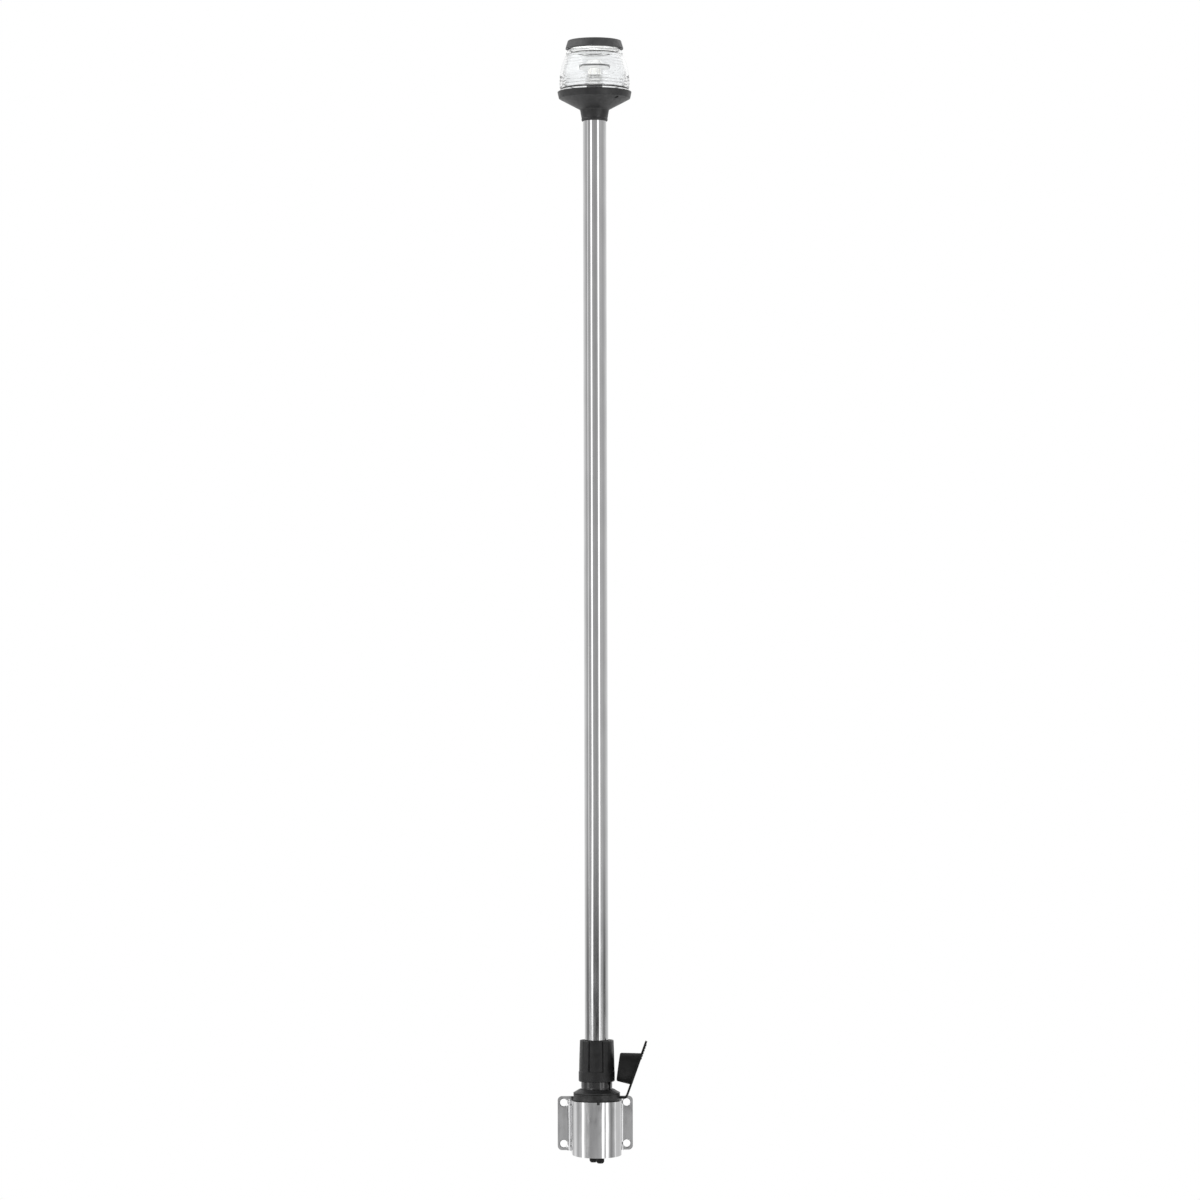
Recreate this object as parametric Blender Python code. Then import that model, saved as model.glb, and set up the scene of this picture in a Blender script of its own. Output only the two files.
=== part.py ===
"""Pull-out all-round navigation light standing in a stainless wall bracket.

Frame: +Z is up, the front of the bracket faces -Y and its back face lies in the plane Y = 0.
The origin is the middle of the four screw holes on that back face. Every length below is in
millimetres and every angle in degrees; the mesh builders turn them into metres and radians.
Heights of the turned pieces are measured from the same origin along the pole's axis.
"""
import math

import bmesh
import bpy
from mathutils import Matrix, Vector

MM = 0.001
GAP = 0.3                      # clearance left between pieces that touch
SIDES = 36                     # facets round a turned piece, unless it asks for fewer
SMALL_SIDES = 16               # the same for screws, pins and their holes
AXIS_Y = -23.7                 # the pole's axis stands this far in front of the wall

# Wall bracket
PLATE_WIDTH = 64.0
PLATE_HEIGHT = 45.8
PLATE_THICKNESS = 3.5
PLATE_CORNER = 3.6
EAR_HOLE_RADIUS = 3.2
EAR_HOLE_SPACING_X = 53.6
EAR_HOLE_SPACING_Z = 34.9
HOUSING_RADIUS = 20.9
HOUSING_TOP = 20.6
HOUSING_FRONT_BOTTOM = -26.4
NOTCH_WIDTH = 2.2
NOTCH_DEPTH = 2.0

# Socket
BARREL_RADIUS = 17.2
BARREL_BOTTOM = -22.5
BORE_RADIUS = 13.5
BORE_FLOOR = -14.0
MOUTH_TOP = 30.6
MOUTH_RIM_RADIUS = 14.7
FLANGE_RADIUS = 19.85
FLANGE_BOTTOM = 27.0
FLANGE_EDGE = 0.6
LUG_CHAMBER_RADIUS = 14.4
LUG_CHAMBER_BOTTOM = 14.2
LUG_CHAMBER_TOP = 22.0
KEY_ANGLE = 135.0
KEYWAY_WIDTH = 3.6
SOCKET_SCREW_HEIGHTS = (10.0, -16.0)

# Contacts and their boots
CONTACT_CIRCLE = 5.5
CONTACT_ANGLE = -62.0
CONTACT_RADIUS = 2.6
PIN_RADIUS = 1.4
BOOT_RADIUS = 3.45
BOOT_BOTTOM = -31.9

# Plug, lock sleeve and locking ring
PLUG_RADIUS = 13.2
PLUG_BOTTOM = -13.7
PLUG_SHOULDER = 14.4
PLUG_STEM_RADIUS = 11.6
PLUG_TOP = 71.5
LUG_RADIUS = 13.9
LUG_WIDTH = 5.0
RING_BOTTOM = 37.0
RING_BAND_TOP = 45.2
RING_TOP = 72.0
RING_BAND_RADIUS = 15.3
RING_TOP_RADIUS = 14.5         # over the ribs, at the top
RIB_COUNT = 5
RIB_CENTRE = 29.6              # first rib, turned from the front towards +X
RIB_HALF_ANGLE = 10.8
RIB_HEIGHT = 0.55
GROOVE_ANGLE = 4.0
GROOVE_DEPTH = 0.45

# Pole
TUBE_RADIUS = 10.0
TUBE_WALL = 1.5
TUBE_BOTTOM = 16.0
TUBE_TOP = 869.0
CABLE_RADIUS = 1.9
CABLE_BORE = 2.3

# Head
COLLAR_BOTTOM = 852.3
COLLAR_RADIUS = 12.3
CONE_BOTTOM = 862.0
BAND_BOTTOM = 871.9
BAND_TOP = 877.4
BAND_BOTTOM_RADIUS = 30.3
BAND_TOP_RADIUS = 31.5
LENS_SEAT = 875.8
LENS_FOOT_RADIUS = 29.2
LENS_LEDGE = 879.2
LENS_WIDEST = 29.8
LENS_WIDEST_HEIGHT = 884.5
LENS_TOP_RADIUS = 24.05
LENS_TOP_HEIGHT = 909.5
LENS_WALL = 1.9
INSERT_WALL = 1.6
LENS_SCREW_CIRCLE = 27.6
LENS_SCREW_ANGLE = -51.3
CAP_BOTTOM = 913.8
CAP_TOP = 921.0
CAP_BOTTOM_RADIUS = 24.6
CAP_TOP_RADIUS = 22.7

# Light engine
POST_FOOT = 876.8
BOARD_THICKNESS = 1.4
LOWER_BOARD_HEIGHT = 889.5
LOWER_BOARD_RADIUS = 7.9
UPPER_BOARD_HEIGHT = 897.6
UPPER_BOARD_RADIUS = 13.0
CARRIER_RADIUS = 4.6
LED_COUNT = 6
POST_SCREW_CIRCLE = 5.4

# Dust cap: its strap bends at the hinge, right of the socket
HINGE_REACH = 25.1              # from the pole's axis
STRAP_TURN = -5.5               # round the pole's axis, from +X
HINGE_Z = 23.5
STRAP_LEAN = 19.7              # the strap leans outwards from the vertical
STRAP_WIDTH = 8.0
STRAP_THICKNESS = 1.8
CAP_DISC_CENTRE = 24.8         # along the strap, from the hinge
CAP_DISC_RADIUS = 16.0
TAB_WIDTH = 12.0
TAB_END = 50.4
STOPPER_END = (-6.8, 25.75)    # middle of the stopper's free face, from the hinge in X and Z
STOPPER_BASE = (6.75, 23.95)   # middle of its root
STOPPER_END_RADIUS = 12.2
STOPPER_BASE_RADIUS = 13.65

AXIS = (0.0, AXIS_Y, 0.0)
FLAT = Matrix.Identity(3)                                   # outline in XY, depth along Z
UPRIGHT = Matrix(((1, 0, 0), (0, 0, 1), (0, 1, 0)))         # outline in XZ, depth along Y
SIDEWAYS = Matrix(((0, 0, 1), (1, 0, 0), (0, 1, 0)))        # outline in YZ, depth along X


# ---------------------------------------------------------------- scene and materials

def clear_scene():
    for existing in list(bpy.data.objects):
        bpy.data.objects.remove(existing, do_unlink=True)


def finish(name, colour, roughness, metallic=0.0, alpha=1.0, transmission=0.0):
    material = bpy.data.materials.new(name)
    material.use_nodes = True
    shader = material.node_tree.nodes["Principled BSDF"]
    shader.inputs["Base Color"].default_value = (*colour, 1.0)
    shader.inputs["Roughness"].default_value = roughness
    shader.inputs["Metallic"].default_value = metallic
    shader.inputs["Alpha"].default_value = alpha
    shader.inputs["Transmission Weight"].default_value = transmission
    return material


def make_materials():
    return {
        "steel": finish("polished_stainless", (0.75, 0.75, 0.76), 0.08, 1.0),
        "nylon": finish("black_nylon", (0.02, 0.02, 0.022), 0.38),
        "rubber": finish("black_rubber", (0.018, 0.018, 0.018), 0.6),
        "clear": finish("clear_acrylic", (0.95, 0.96, 0.97), 0.04, 0.0, 0.35, 1.0),
        "white": finish("white_plastic", (0.85, 0.85, 0.84), 0.4),
        "board": finish("circuit_board", (0.05, 0.06, 0.055), 0.5),
        "led": finish("led_phosphor", (0.9, 0.85, 0.5), 0.35),
        "brass": finish("plated_brass", (0.8, 0.66, 0.35), 0.25, 1.0),
        "cable": finish("cable_jacket", (0.03, 0.03, 0.03), 0.5),
    }


# ---------------------------------------------------------------- shape builders

def empty(name, location, turn=0):
    marker = bpy.data.objects.new(name, None)
    marker.location = Vector(location) * MM
    marker.rotation_euler.z = math.radians(turn)
    bpy.context.collection.objects.link(marker)
    return marker


def solid(name, bm, material, parent):
    """Turn a bmesh, drawn in the parent's axes, into a smooth-shaded object."""
    bmesh.ops.recalc_face_normals(bm, faces=bm.faces)
    mesh = bpy.data.meshes.new(name)
    bm.to_mesh(mesh)
    bm.free()
    mesh.shade_smooth()
    mesh.set_sharp_from_angle(angle=math.radians(35))
    if material:
        mesh.materials.append(material)
    made = bpy.data.objects.new(name, mesh)
    made.parent = parent
    bpy.context.collection.objects.link(made)
    return made


def circle(radius, angle):
    return radius * math.cos(math.radians(angle)), radius * math.sin(math.radians(angle))


def arc(centre, radius, start, end, steps):
    """Points of an arc in a plane, from one angle to another."""
    points = []
    for step in range(steps + 1):
        across, up = circle(radius, start + (end - start) * step / steps)
        points.append((centre[0] + across, centre[1] + up))
    return points


def bridge(bm, ring, following):
    for k in range(len(ring)):
        corners = dict.fromkeys((ring[k - 1], ring[k], following[k], following[k - 1]))
        if len(corners) > 2:
            bm.faces.new(corners)


def turned(name, outline, material, parent, sides=SIDES, at=(0.0, 0.0), spin_axis="Z"):
    """Turn a closed outline of (radius, height) points about an upright or a Y-way axis."""
    bm = bmesh.new()
    rings = []
    for radius, height in outline:
        if radius == 0:
            rings.append([bm.verts.new((0, 0, height * MM))] * sides)
            continue
        turn = [circle(radius, 360 * k / sides) for k in range(sides)]
        rings.append([bm.verts.new((x * MM, y * MM, height * MM)) for x, y in turn])
    for ring, following in zip(rings, rings[1:] + rings[:1]):
        bridge(bm, ring, following)
    if spin_axis == "Y":
        bmesh.ops.rotate(bm, verts=bm.verts, matrix=Matrix.Rotation(math.radians(90), 3, "X"))
        offset = (at[0] * MM, 0, at[1] * MM)
    else:
        offset = (at[0] * MM, at[1] * MM, 0)
    bmesh.ops.translate(bm, verts=bm.verts, vec=offset)
    return solid(name, bm, material, parent)


def prism(name, outline, low, high, material, parent, plane=FLAT):
    """Extrude a closed outline between two depths; the plane says which way it lies."""
    bm = bmesh.new()
    ends = []
    for depth in (low, high):
        ends.append([bm.verts.new(plane @ Vector((u, v, depth)) * MM) for u, v in outline])
    bm.faces.new(ends[0])
    bm.faces.new(ends[1])
    bridge(bm, ends[0], ends[1])
    return solid(name, bm, material, parent)


def box_outline(low, high):
    return [(low[0], low[1]), (high[0], low[1]), (high[0], high[1]), (low[0], high[1])]


def rod_outline(radius, low, high, edge=0.0):
    """Outline of a plain round rod, with its top edge chamfered where an edge is given."""
    outline = [(0, low), (radius, low), (radius, high - edge)]
    if edge:
        outline.append((radius - edge, high))
    return outline + [(0, high)]


def tube_outline(inner, outer, low, high):
    return [(inner, low), (outer, low), (outer, high), (inner, high)]


def ring_outline(radius, height, thickness, steps=6):
    """Outline of an O-ring of round section."""
    return arc((radius, height), thickness / 2, 0, 360 * (steps - 1) / steps, steps - 1)


def combine(target, tool, operation="DIFFERENCE"):
    """Cut the tool from the target, or join it to it, and keep the tool as a guide."""
    tool.hide_render = True
    tool.display_type = "WIRE"
    modifier = target.modifiers.new(tool.name, "BOOLEAN")
    modifier.operation = operation
    modifier.solver = "EXACT"
    modifier.object = tool
    return target


def turn_about_axis(made, angle):
    """Swing a mesh drawn at +X round the parent's Z axis."""
    made.data.transform(Matrix.Rotation(math.radians(angle), 4, "Z"))
    return made


# ---------------------------------------------------------------- bracket and socket

def wall_bracket(mats, frame):
    half_width = PLATE_WIDTH / 2 - PLATE_CORNER
    half_height = PLATE_HEIGHT / 2 - PLATE_CORNER
    outline = []
    for corner, (across, up) in enumerate(((1, 1), (-1, 1), (-1, -1), (1, -1))):
        centre = (across * half_width, up * half_height)
        outline += arc(centre, PLATE_CORNER, 90 * corner, 90 * corner + 90, 4)
    bracket = prism("wall_bracket", outline, -PLATE_THICKNESS, 0, mats["steel"], frame, UPRIGHT)

    # The housing is half round in front and runs straight back into the plate.
    into_plate = -PLATE_THICKNESS / 2
    plan = arc((0, AXIS_Y), HOUSING_RADIUS, 180, 360, 22)
    plan += [(HOUSING_RADIUS, into_plate), (-HOUSING_RADIUS, into_plate)]
    bottom = HOUSING_FRONT_BOTTOM
    housing = prism("housing_guide", plan, bottom, HOUSING_TOP, mats["steel"], frame)
    combine(bracket, housing, "UNION")

    # Its lower edge rises from the front to the foot of the plate.
    front = AXIS_Y - HOUSING_RADIUS
    slope = [(front - 1, bottom), (0, -PLATE_HEIGHT / 2), (1, -PLATE_HEIGHT / 2)]
    slope += [(1, bottom - 5), (front - 1, bottom - 5)]
    reach = HOUSING_RADIUS + 1
    combine(bracket, prism("slope_cutter", slope, -reach, reach, None, frame, SIDEWAYS))

    bore = rod_outline(BARREL_RADIUS + GAP, bottom - 5, HOUSING_TOP + 5)
    combine(bracket, turned("bore_cutter", bore, None, frame, at=(0, AXIS_Y)))

    for across in (-1, 1):
        for up in (-1, 1):
            place = (across * EAR_HOLE_SPACING_X / 2, up * EAR_HOLE_SPACING_Z / 2)
            name = f"ear_hole_cutter_{across}_{up}"
            hole = rod_outline(EAR_HOLE_RADIUS, -1, PLATE_THICKNESS + 1)
            combine(bracket, turned(name, hole, None, frame, SMALL_SIDES, place, "Y"))

    half_notch = NOTCH_WIDTH / 2
    notch = box_outline((-half_notch, front - 1), (half_notch, AXIS_Y - BARREL_RADIUS + 1))
    notch_bottom = HOUSING_TOP - NOTCH_DEPTH
    combine(bracket, prism("notch_cutter", notch, notch_bottom, HOUSING_TOP + 1, None, frame))

    for number, height in enumerate(SOCKET_SCREW_HEIGHTS):
        hole = socket_screw_outline(GAP, -1)
        combine(bracket, turned(f"screw_cutter_{number}", hole, None, frame, SMALL_SIDES,
                                (0, height), "Y"))
    return bracket


def socket_screw_outline(clearance, start):
    """Countersunk screw entering from the bracket's back; depth runs away from the wall."""
    head = 2.9 + clearance
    shank = 1.5 + clearance
    end = -AXIS_Y - BORE_RADIUS - 1.1 + clearance
    return [(0, start), (head, start), (head, 0.9), (shank, 2.3), (shank, end), (0, end)]


def contact_places():
    return [circle(CONTACT_CIRCLE, CONTACT_ANGLE), circle(CONTACT_CIRCLE, CONTACT_ANGLE + 180)]


def socket_body(mats, axis):
    outline = [
        (0, BARREL_BOTTOM),
        (BARREL_RADIUS, BARREL_BOTTOM),
        (BARREL_RADIUS, FLANGE_BOTTOM),
        (FLANGE_RADIUS, FLANGE_BOTTOM),
        (FLANGE_RADIUS, FLANGE_BOTTOM + FLANGE_EDGE),
        (MOUTH_RIM_RADIUS, MOUTH_TOP),
        (BORE_RADIUS, MOUTH_TOP),
        (BORE_RADIUS, LUG_CHAMBER_TOP),
        (LUG_CHAMBER_RADIUS, LUG_CHAMBER_TOP),
        (LUG_CHAMBER_RADIUS, LUG_CHAMBER_BOTTOM),
        (BORE_RADIUS, LUG_CHAMBER_BOTTOM),
        (BORE_RADIUS, BORE_FLOOR),
        (0, BORE_FLOOR),
    ]
    body = turned("socket_body", outline, mats["nylon"], axis)

    # Two slots let the lock sleeve's lugs into the chamber, one keyway guides the plug.
    half_slot = LUG_WIDTH / 2 + GAP
    depth = LUG_CHAMBER_RADIUS
    slot = box_outline((-depth, -half_slot), (depth, half_slot))
    slots = prism("slot_cutter", slot, LUG_CHAMBER_TOP - 1, MOUTH_TOP + 1, None, axis)
    combine(body, slots)
    half_key = KEYWAY_WIDTH / 2
    keyway = box_outline((BORE_RADIUS - 2, -half_key), (LUG_CHAMBER_RADIUS, half_key))
    key_cutter = prism("keyway_cutter", keyway, BORE_FLOOR, MOUTH_TOP + 1, None, axis)
    combine(body, turn_about_axis(key_cutter, KEY_ANGLE))

    hole = rod_outline(CONTACT_RADIUS + GAP, BARREL_BOTTOM - 1, BORE_FLOOR + 1)
    for number, place in enumerate(contact_places()):
        combine(body, turned(f"contact_cutter_{number}", hole, None, axis, SMALL_SIDES, place))
    for number, height in enumerate(SOCKET_SCREW_HEIGHTS):
        cutter = turned(f"thread_cutter_{number}", socket_screw_outline(GAP, -1), None,
                        axis, SMALL_SIDES, (0, height), "Y")
        cutter.data.transform(Matrix.Translation((0, -AXIS_Y * MM, 0)))
        combine(body, cutter)
    return body


def socket_fittings(mats, frame, axis):
    contact = [(0, -21.9), (1.7, -21.9), (1.7, -14.5), (CONTACT_RADIUS, -14.5),
               (CONTACT_RADIUS, -22.8), (1.6, -22.8), (1.6, -29.5), (0.9, -29.5),
               (0.9, -25.0), (0, -25.0)]
    boot = [(1.9, -23.1), (BOOT_RADIUS, -23.1), (BOOT_RADIUS, BOOT_BOTTOM + 1.6),
            (BOOT_RADIUS - 0.5, BOOT_BOTTOM + 0.5), (BOOT_RADIUS - 1.3, BOOT_BOTTOM),
            (1.9, BOOT_BOTTOM)]
    for number, place in enumerate(contact_places(), start=1):
        turned(f"socket_contact_{number}", contact, mats["brass"], axis, SMALL_SIDES, place)
        turned(f"terminal_boot_{number}", boot, mats["rubber"], axis, SMALL_SIDES, place)
    for number, height in enumerate(SOCKET_SCREW_HEIGHTS, start=1):
        screw = socket_screw_outline(0, GAP)
        turned(f"socket_screw_{number}", screw, mats["steel"], frame, SMALL_SIDES, (0, height), "Y")


def cap_strap_ring(mats, axis):
    """Rubber band round the socket: gasket on the bracket, and root of the cap's strap."""
    low = HOUSING_TOP + GAP
    high = FLANGE_BOTTOM - GAP
    inner = BARREL_RADIUS + GAP
    band = tube_outline(inner, FLANGE_RADIUS, low, high)
    ring = turned("cap_strap_ring", band, mats["rubber"], axis)
    half_width = STRAP_WIDTH / 2
    half_thickness = STRAP_THICKNESS / 2
    stub_end = HINGE_REACH - 1.3
    stub = box_outline((inner + 1, -half_width), (stub_end, half_width))
    bottom = HINGE_Z - half_thickness
    top = HINGE_Z + half_thickness
    root = prism("stub_guide", stub, bottom, top, mats["rubber"], axis)
    combine(ring, turn_about_axis(root, STRAP_TURN), "UNION")
    half_pip = NOTCH_WIDTH / 2 - GAP
    pip = box_outline((-half_pip, -FLANGE_RADIUS + 0.1), (half_pip, -inner - 0.6))
    pip_bottom = HOUSING_TOP - NOTCH_DEPTH + GAP
    combine(ring, prism("pip_guide", pip, pip_bottom, low + 1, mats["rubber"], axis), "UNION")
    return ring


# ---------------------------------------------------------------- dust cap

def dust_cap(mats, hinge):
    """Strap, disc, pull tab and tapered stopper in one moulding, drawn from the hinge."""
    lean = math.radians(STRAP_LEAN)
    along = Vector((math.sin(lean), 0, math.cos(lean)))
    outward = Vector((math.cos(lean), 0, -math.sin(lean)))
    blade_plane = Matrix((along, Vector((0, 1, 0)), outward)).transposed()

    half_strap = STRAP_WIDTH / 2
    half_tab = TAB_WIDTH / 2
    strap_angle = math.degrees(math.asin(half_strap / CAP_DISC_RADIUS))
    tab_angle = math.degrees(math.asin(half_tab / CAP_DISC_RADIUS))
    centre = (CAP_DISC_CENTRE, 0)
    tab_corner = 3.0
    outline = [(0.6, half_strap), (0.6, -half_strap)]
    outline += arc(centre, CAP_DISC_RADIUS, 180 + strap_angle, 360 - tab_angle, 9)
    outline += arc((TAB_END - tab_corner, tab_corner - half_tab), tab_corner, -90, 0, 2)
    outline += arc((TAB_END - tab_corner, half_tab - tab_corner), tab_corner, 0, 90, 2)
    outline += arc(centre, CAP_DISC_RADIUS, tab_angle, 180 - strap_angle, 9)
    half_thickness = STRAP_THICKNESS / 2
    cap = prism("dust_cap", outline, -half_thickness, half_thickness, mats["rubber"], hinge,
                blade_plane)

    # The stopper is a cone whose root is cut slantwise by the disc.
    end = Vector((STOPPER_END[0], 0, STOPPER_END[1]))
    base = Vector((STOPPER_BASE[0], 0, STOPPER_BASE[1]))
    inward = (base - end).normalized()
    taper = (STOPPER_BASE_RADIUS - STOPPER_END_RADIUS) / (base - end).length
    side = Vector((0, 1, 0))
    up = inward.cross(side)
    edge = 0.9
    bm = bmesh.new()
    rings = [[], [], []]
    for k in range(SIDES):
        across, rise = circle(1, 360 * k / SIDES)
        radial = side * across + up * rise
        rings[0].append(bm.verts.new((end + radial * (STOPPER_END_RADIUS - edge)) * MM))
        rings[1].append(bm.verts.new((end + inward * edge + radial * STOPPER_END_RADIUS) * MM))
        start = end + radial * STOPPER_END_RADIUS
        step = inward + radial * taper
        reach = -start.dot(outward) / step.dot(outward)
        rings[2].append(bm.verts.new((start + step * reach) * MM))
    bm.faces.new(rings[0])
    bm.faces.new(rings[2])
    bridge(bm, rings[0], rings[1])
    bridge(bm, rings[1], rings[2])
    combine(cap, solid("stopper_guide", bm, mats["rubber"], hinge), "UNION")
    return cap


# ---------------------------------------------------------------- plug and locking ring

def plug_body(mats, axis):
    groove = (0.5, 3.7)
    clip_groove = (61.5, 62.9)
    outline = [
        (0, PLUG_BOTTOM),
        (PLUG_RADIUS - 0.8, PLUG_BOTTOM),
        (PLUG_RADIUS, PLUG_BOTTOM + 0.8),
        (PLUG_RADIUS, groove[0]),
        (11.3, groove[0]),
        (11.3, groove[1]),
        (PLUG_RADIUS, groove[1]),
        (PLUG_RADIUS, PLUG_SHOULDER),
        (PLUG_STEM_RADIUS, PLUG_SHOULDER),
        (PLUG_STEM_RADIUS, clip_groove[0]),
        (10.9, clip_groove[0]),
        (10.9, clip_groove[1]),
        (PLUG_STEM_RADIUS, clip_groove[1]),
        (PLUG_STEM_RADIUS, PLUG_TOP),
        (TUBE_RADIUS + GAP, PLUG_TOP),
        (TUBE_RADIUS + GAP, TUBE_BOTTOM - GAP),
        (CABLE_BORE, TUBE_BOTTOM - GAP),
        (CABLE_BORE, -8.0),
        (0, -8.0),
    ]
    body = turned("plug_body", outline, mats["nylon"], axis)
    half_key = KEYWAY_WIDTH / 2 - GAP
    key_reach = LUG_CHAMBER_RADIUS - GAP
    key = box_outline((PLUG_RADIUS - 1.5, -half_key), (key_reach, half_key))
    key_guide = prism("key_guide", key, PLUG_BOTTOM + 1, -2.0, mats["nylon"], axis)
    combine(body, turn_about_axis(key_guide, KEY_ANGLE), "UNION")
    hole = rod_outline(PIN_RADIUS + GAP, PLUG_BOTTOM - 1, -9.7)
    for number, place in enumerate(contact_places()):
        combine(body, turned(f"pin_hole_cutter_{number}", hole, None, axis, SMALL_SIDES, place))
    grub_hole = rod_outline(1.8, -12.5, -9.5)
    grub_cutter = turned("plug_grub_cutter", grub_hole, None, axis, SMALL_SIDES, (0, 55.0), "Y")
    combine(body, grub_cutter)
    return body


def plug_fittings(mats, axis):
    tip = -21.4
    pin = [(0, tip), (0.7, tip), (PIN_RADIUS, tip + 0.8), (PIN_RADIUS, -10.0), (0, -10.0)]
    for number, place in enumerate(contact_places(), start=1):
        turned(f"plug_pin_{number}", pin, mats["brass"], axis, SMALL_SIDES, place)
    turned("plug_o_ring", ring_outline(12.4, 2.1, 1.5), mats["rubber"], axis)
    clip = turned("ring_clip", tube_outline(11.2, 12.2, 61.8, 62.6), mats["steel"], axis)
    mouth = box_outline((8, -2.5), (14, 2.5))
    combine(clip, turn_about_axis(prism("clip_cutter", mouth, 61, 64, None, axis), 90))
    grub = rod_outline(1.5, -11.4, -10.45)
    turned("plug_grub_screw", grub, mats["steel"], axis, SMALL_SIDES, (0, 55.0), "Y")


def lock_sleeve(mats, axis):
    low = PLUG_SHOULDER + GAP
    inner = PLUG_STEM_RADIUS + GAP
    sleeve = turned("lock_sleeve", tube_outline(inner, PLUG_RADIUS, low, 46.0),
                    mats["nylon"], axis)
    half = LUG_WIDTH / 2
    for number, angle in enumerate((0, 180)):
        lug = box_outline((inner + 0.6, -half), (LUG_RADIUS, half))
        guide = prism(f"lug_guide_{number}", lug, low + 0.6, low + 5.0, mats["nylon"], axis)
        combine(sleeve, turn_about_axis(guide, angle), "UNION")
    return sleeve


def locking_ring(mats, axis):
    """Fluted ring: raised ribs, each between two narrow grooves, over a plain band."""
    pitch = 360 / RIB_COUNT
    stops = []                                   # (angle from a rib's middle, depth)
    for step in (-1, 0, 1):
        stops.append((step * RIB_HALF_ANGLE, 0.0))
    floor_depth = RIB_HEIGHT + GROOVE_DEPTH
    edge = 0.8
    groove_start = RIB_HALF_ANGLE + edge
    groove_end = RIB_HALF_ANGLE + GROOVE_ANGLE
    stops += [(groove_start, floor_depth), (groove_end, floor_depth)]
    flat_start = groove_end + edge
    flat_end = pitch - flat_start
    for step in range(4):
        stops.append((flat_start + (flat_end - flat_start) * step / 3, RIB_HEIGHT))
    stops += [(pitch - groove_end, floor_depth), (pitch - groove_start, floor_depth)]

    def level(height, radius, share):
        """One closed loop of the ring; share says how much of the fluting it shows."""
        points = []
        for rib in range(RIB_COUNT):
            for angle, depth in stops:
                turn = RIB_CENTRE - 90 + rib * pitch + angle
                across, along = circle(radius - share * depth, turn)
                points.append(Vector((across, along, height)) * MM)
        return points

    run = RING_TOP - RING_BAND_TOP
    fluted_foot = RING_BAND_TOP + 0.7
    chamfer = 0.7
    near_top = RING_TOP_RADIUS + (RING_BAND_RADIUS - RING_TOP_RADIUS) * chamfer / run
    middle_height = RING_BAND_TOP + 0.4 * run
    middle_radius = RING_BAND_RADIUS - 0.22 * (RING_BAND_RADIUS - RING_TOP_RADIUS)
    sleeve_bore = PLUG_RADIUS + GAP
    stem_bore = PLUG_STEM_RADIUS + GAP
    clip_bore = 12.5
    loops = [
        level(RING_BOTTOM, sleeve_bore, 0),
        level(RING_BOTTOM, RING_BAND_RADIUS - 1.0, 0),
        level(RING_BOTTOM + 0.8, RING_BAND_RADIUS, 0),
        level(RING_BAND_TOP, RING_BAND_RADIUS, 0),
        level(fluted_foot, RING_BAND_RADIUS, 1),
        level(middle_height, middle_radius, 1),
        level(RING_TOP - chamfer, near_top, 1),
        level(RING_TOP, near_top - chamfer, 0.6),
        level(RING_TOP, clip_bore, 0),
        level(61.2, clip_bore, 0),
        level(61.2, stem_bore, 0),
        level(46.3, stem_bore, 0),
        level(46.3, sleeve_bore, 0),
    ]
    bm = bmesh.new()
    rings = [[bm.verts.new(point) for point in loop] for loop in loops]
    for ring, following in zip(rings, rings[1:] + rings[:1]):
        bridge(bm, ring, following)
    return solid("locking_ring", bm, mats["nylon"], axis)


# ---------------------------------------------------------------- pole and head

def pole(mats, axis):
    wall = tube_outline(TUBE_RADIUS - TUBE_WALL, TUBE_RADIUS, TUBE_BOTTOM, TUBE_TOP)
    turned("pole_tube", wall, mats["steel"], axis)
    turned("inner_cable", rod_outline(CABLE_RADIUS, -7.6, UPPER_BOARD_HEIGHT - 1.0),
           mats["cable"], axis, SMALL_SIDES)
    grub = rod_outline(1.5, -12.0, -10.45)
    turned("collar_grub_screw", grub, mats["steel"], axis, SMALL_SIDES, (0, 858.5), "Y")
    grommet = tube_outline(2.2, 3.6, TUBE_TOP + 0.6, LENS_SEAT + 0.4)
    turned("cable_grommet", grommet, mats["rubber"], axis, SMALL_SIDES)


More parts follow.
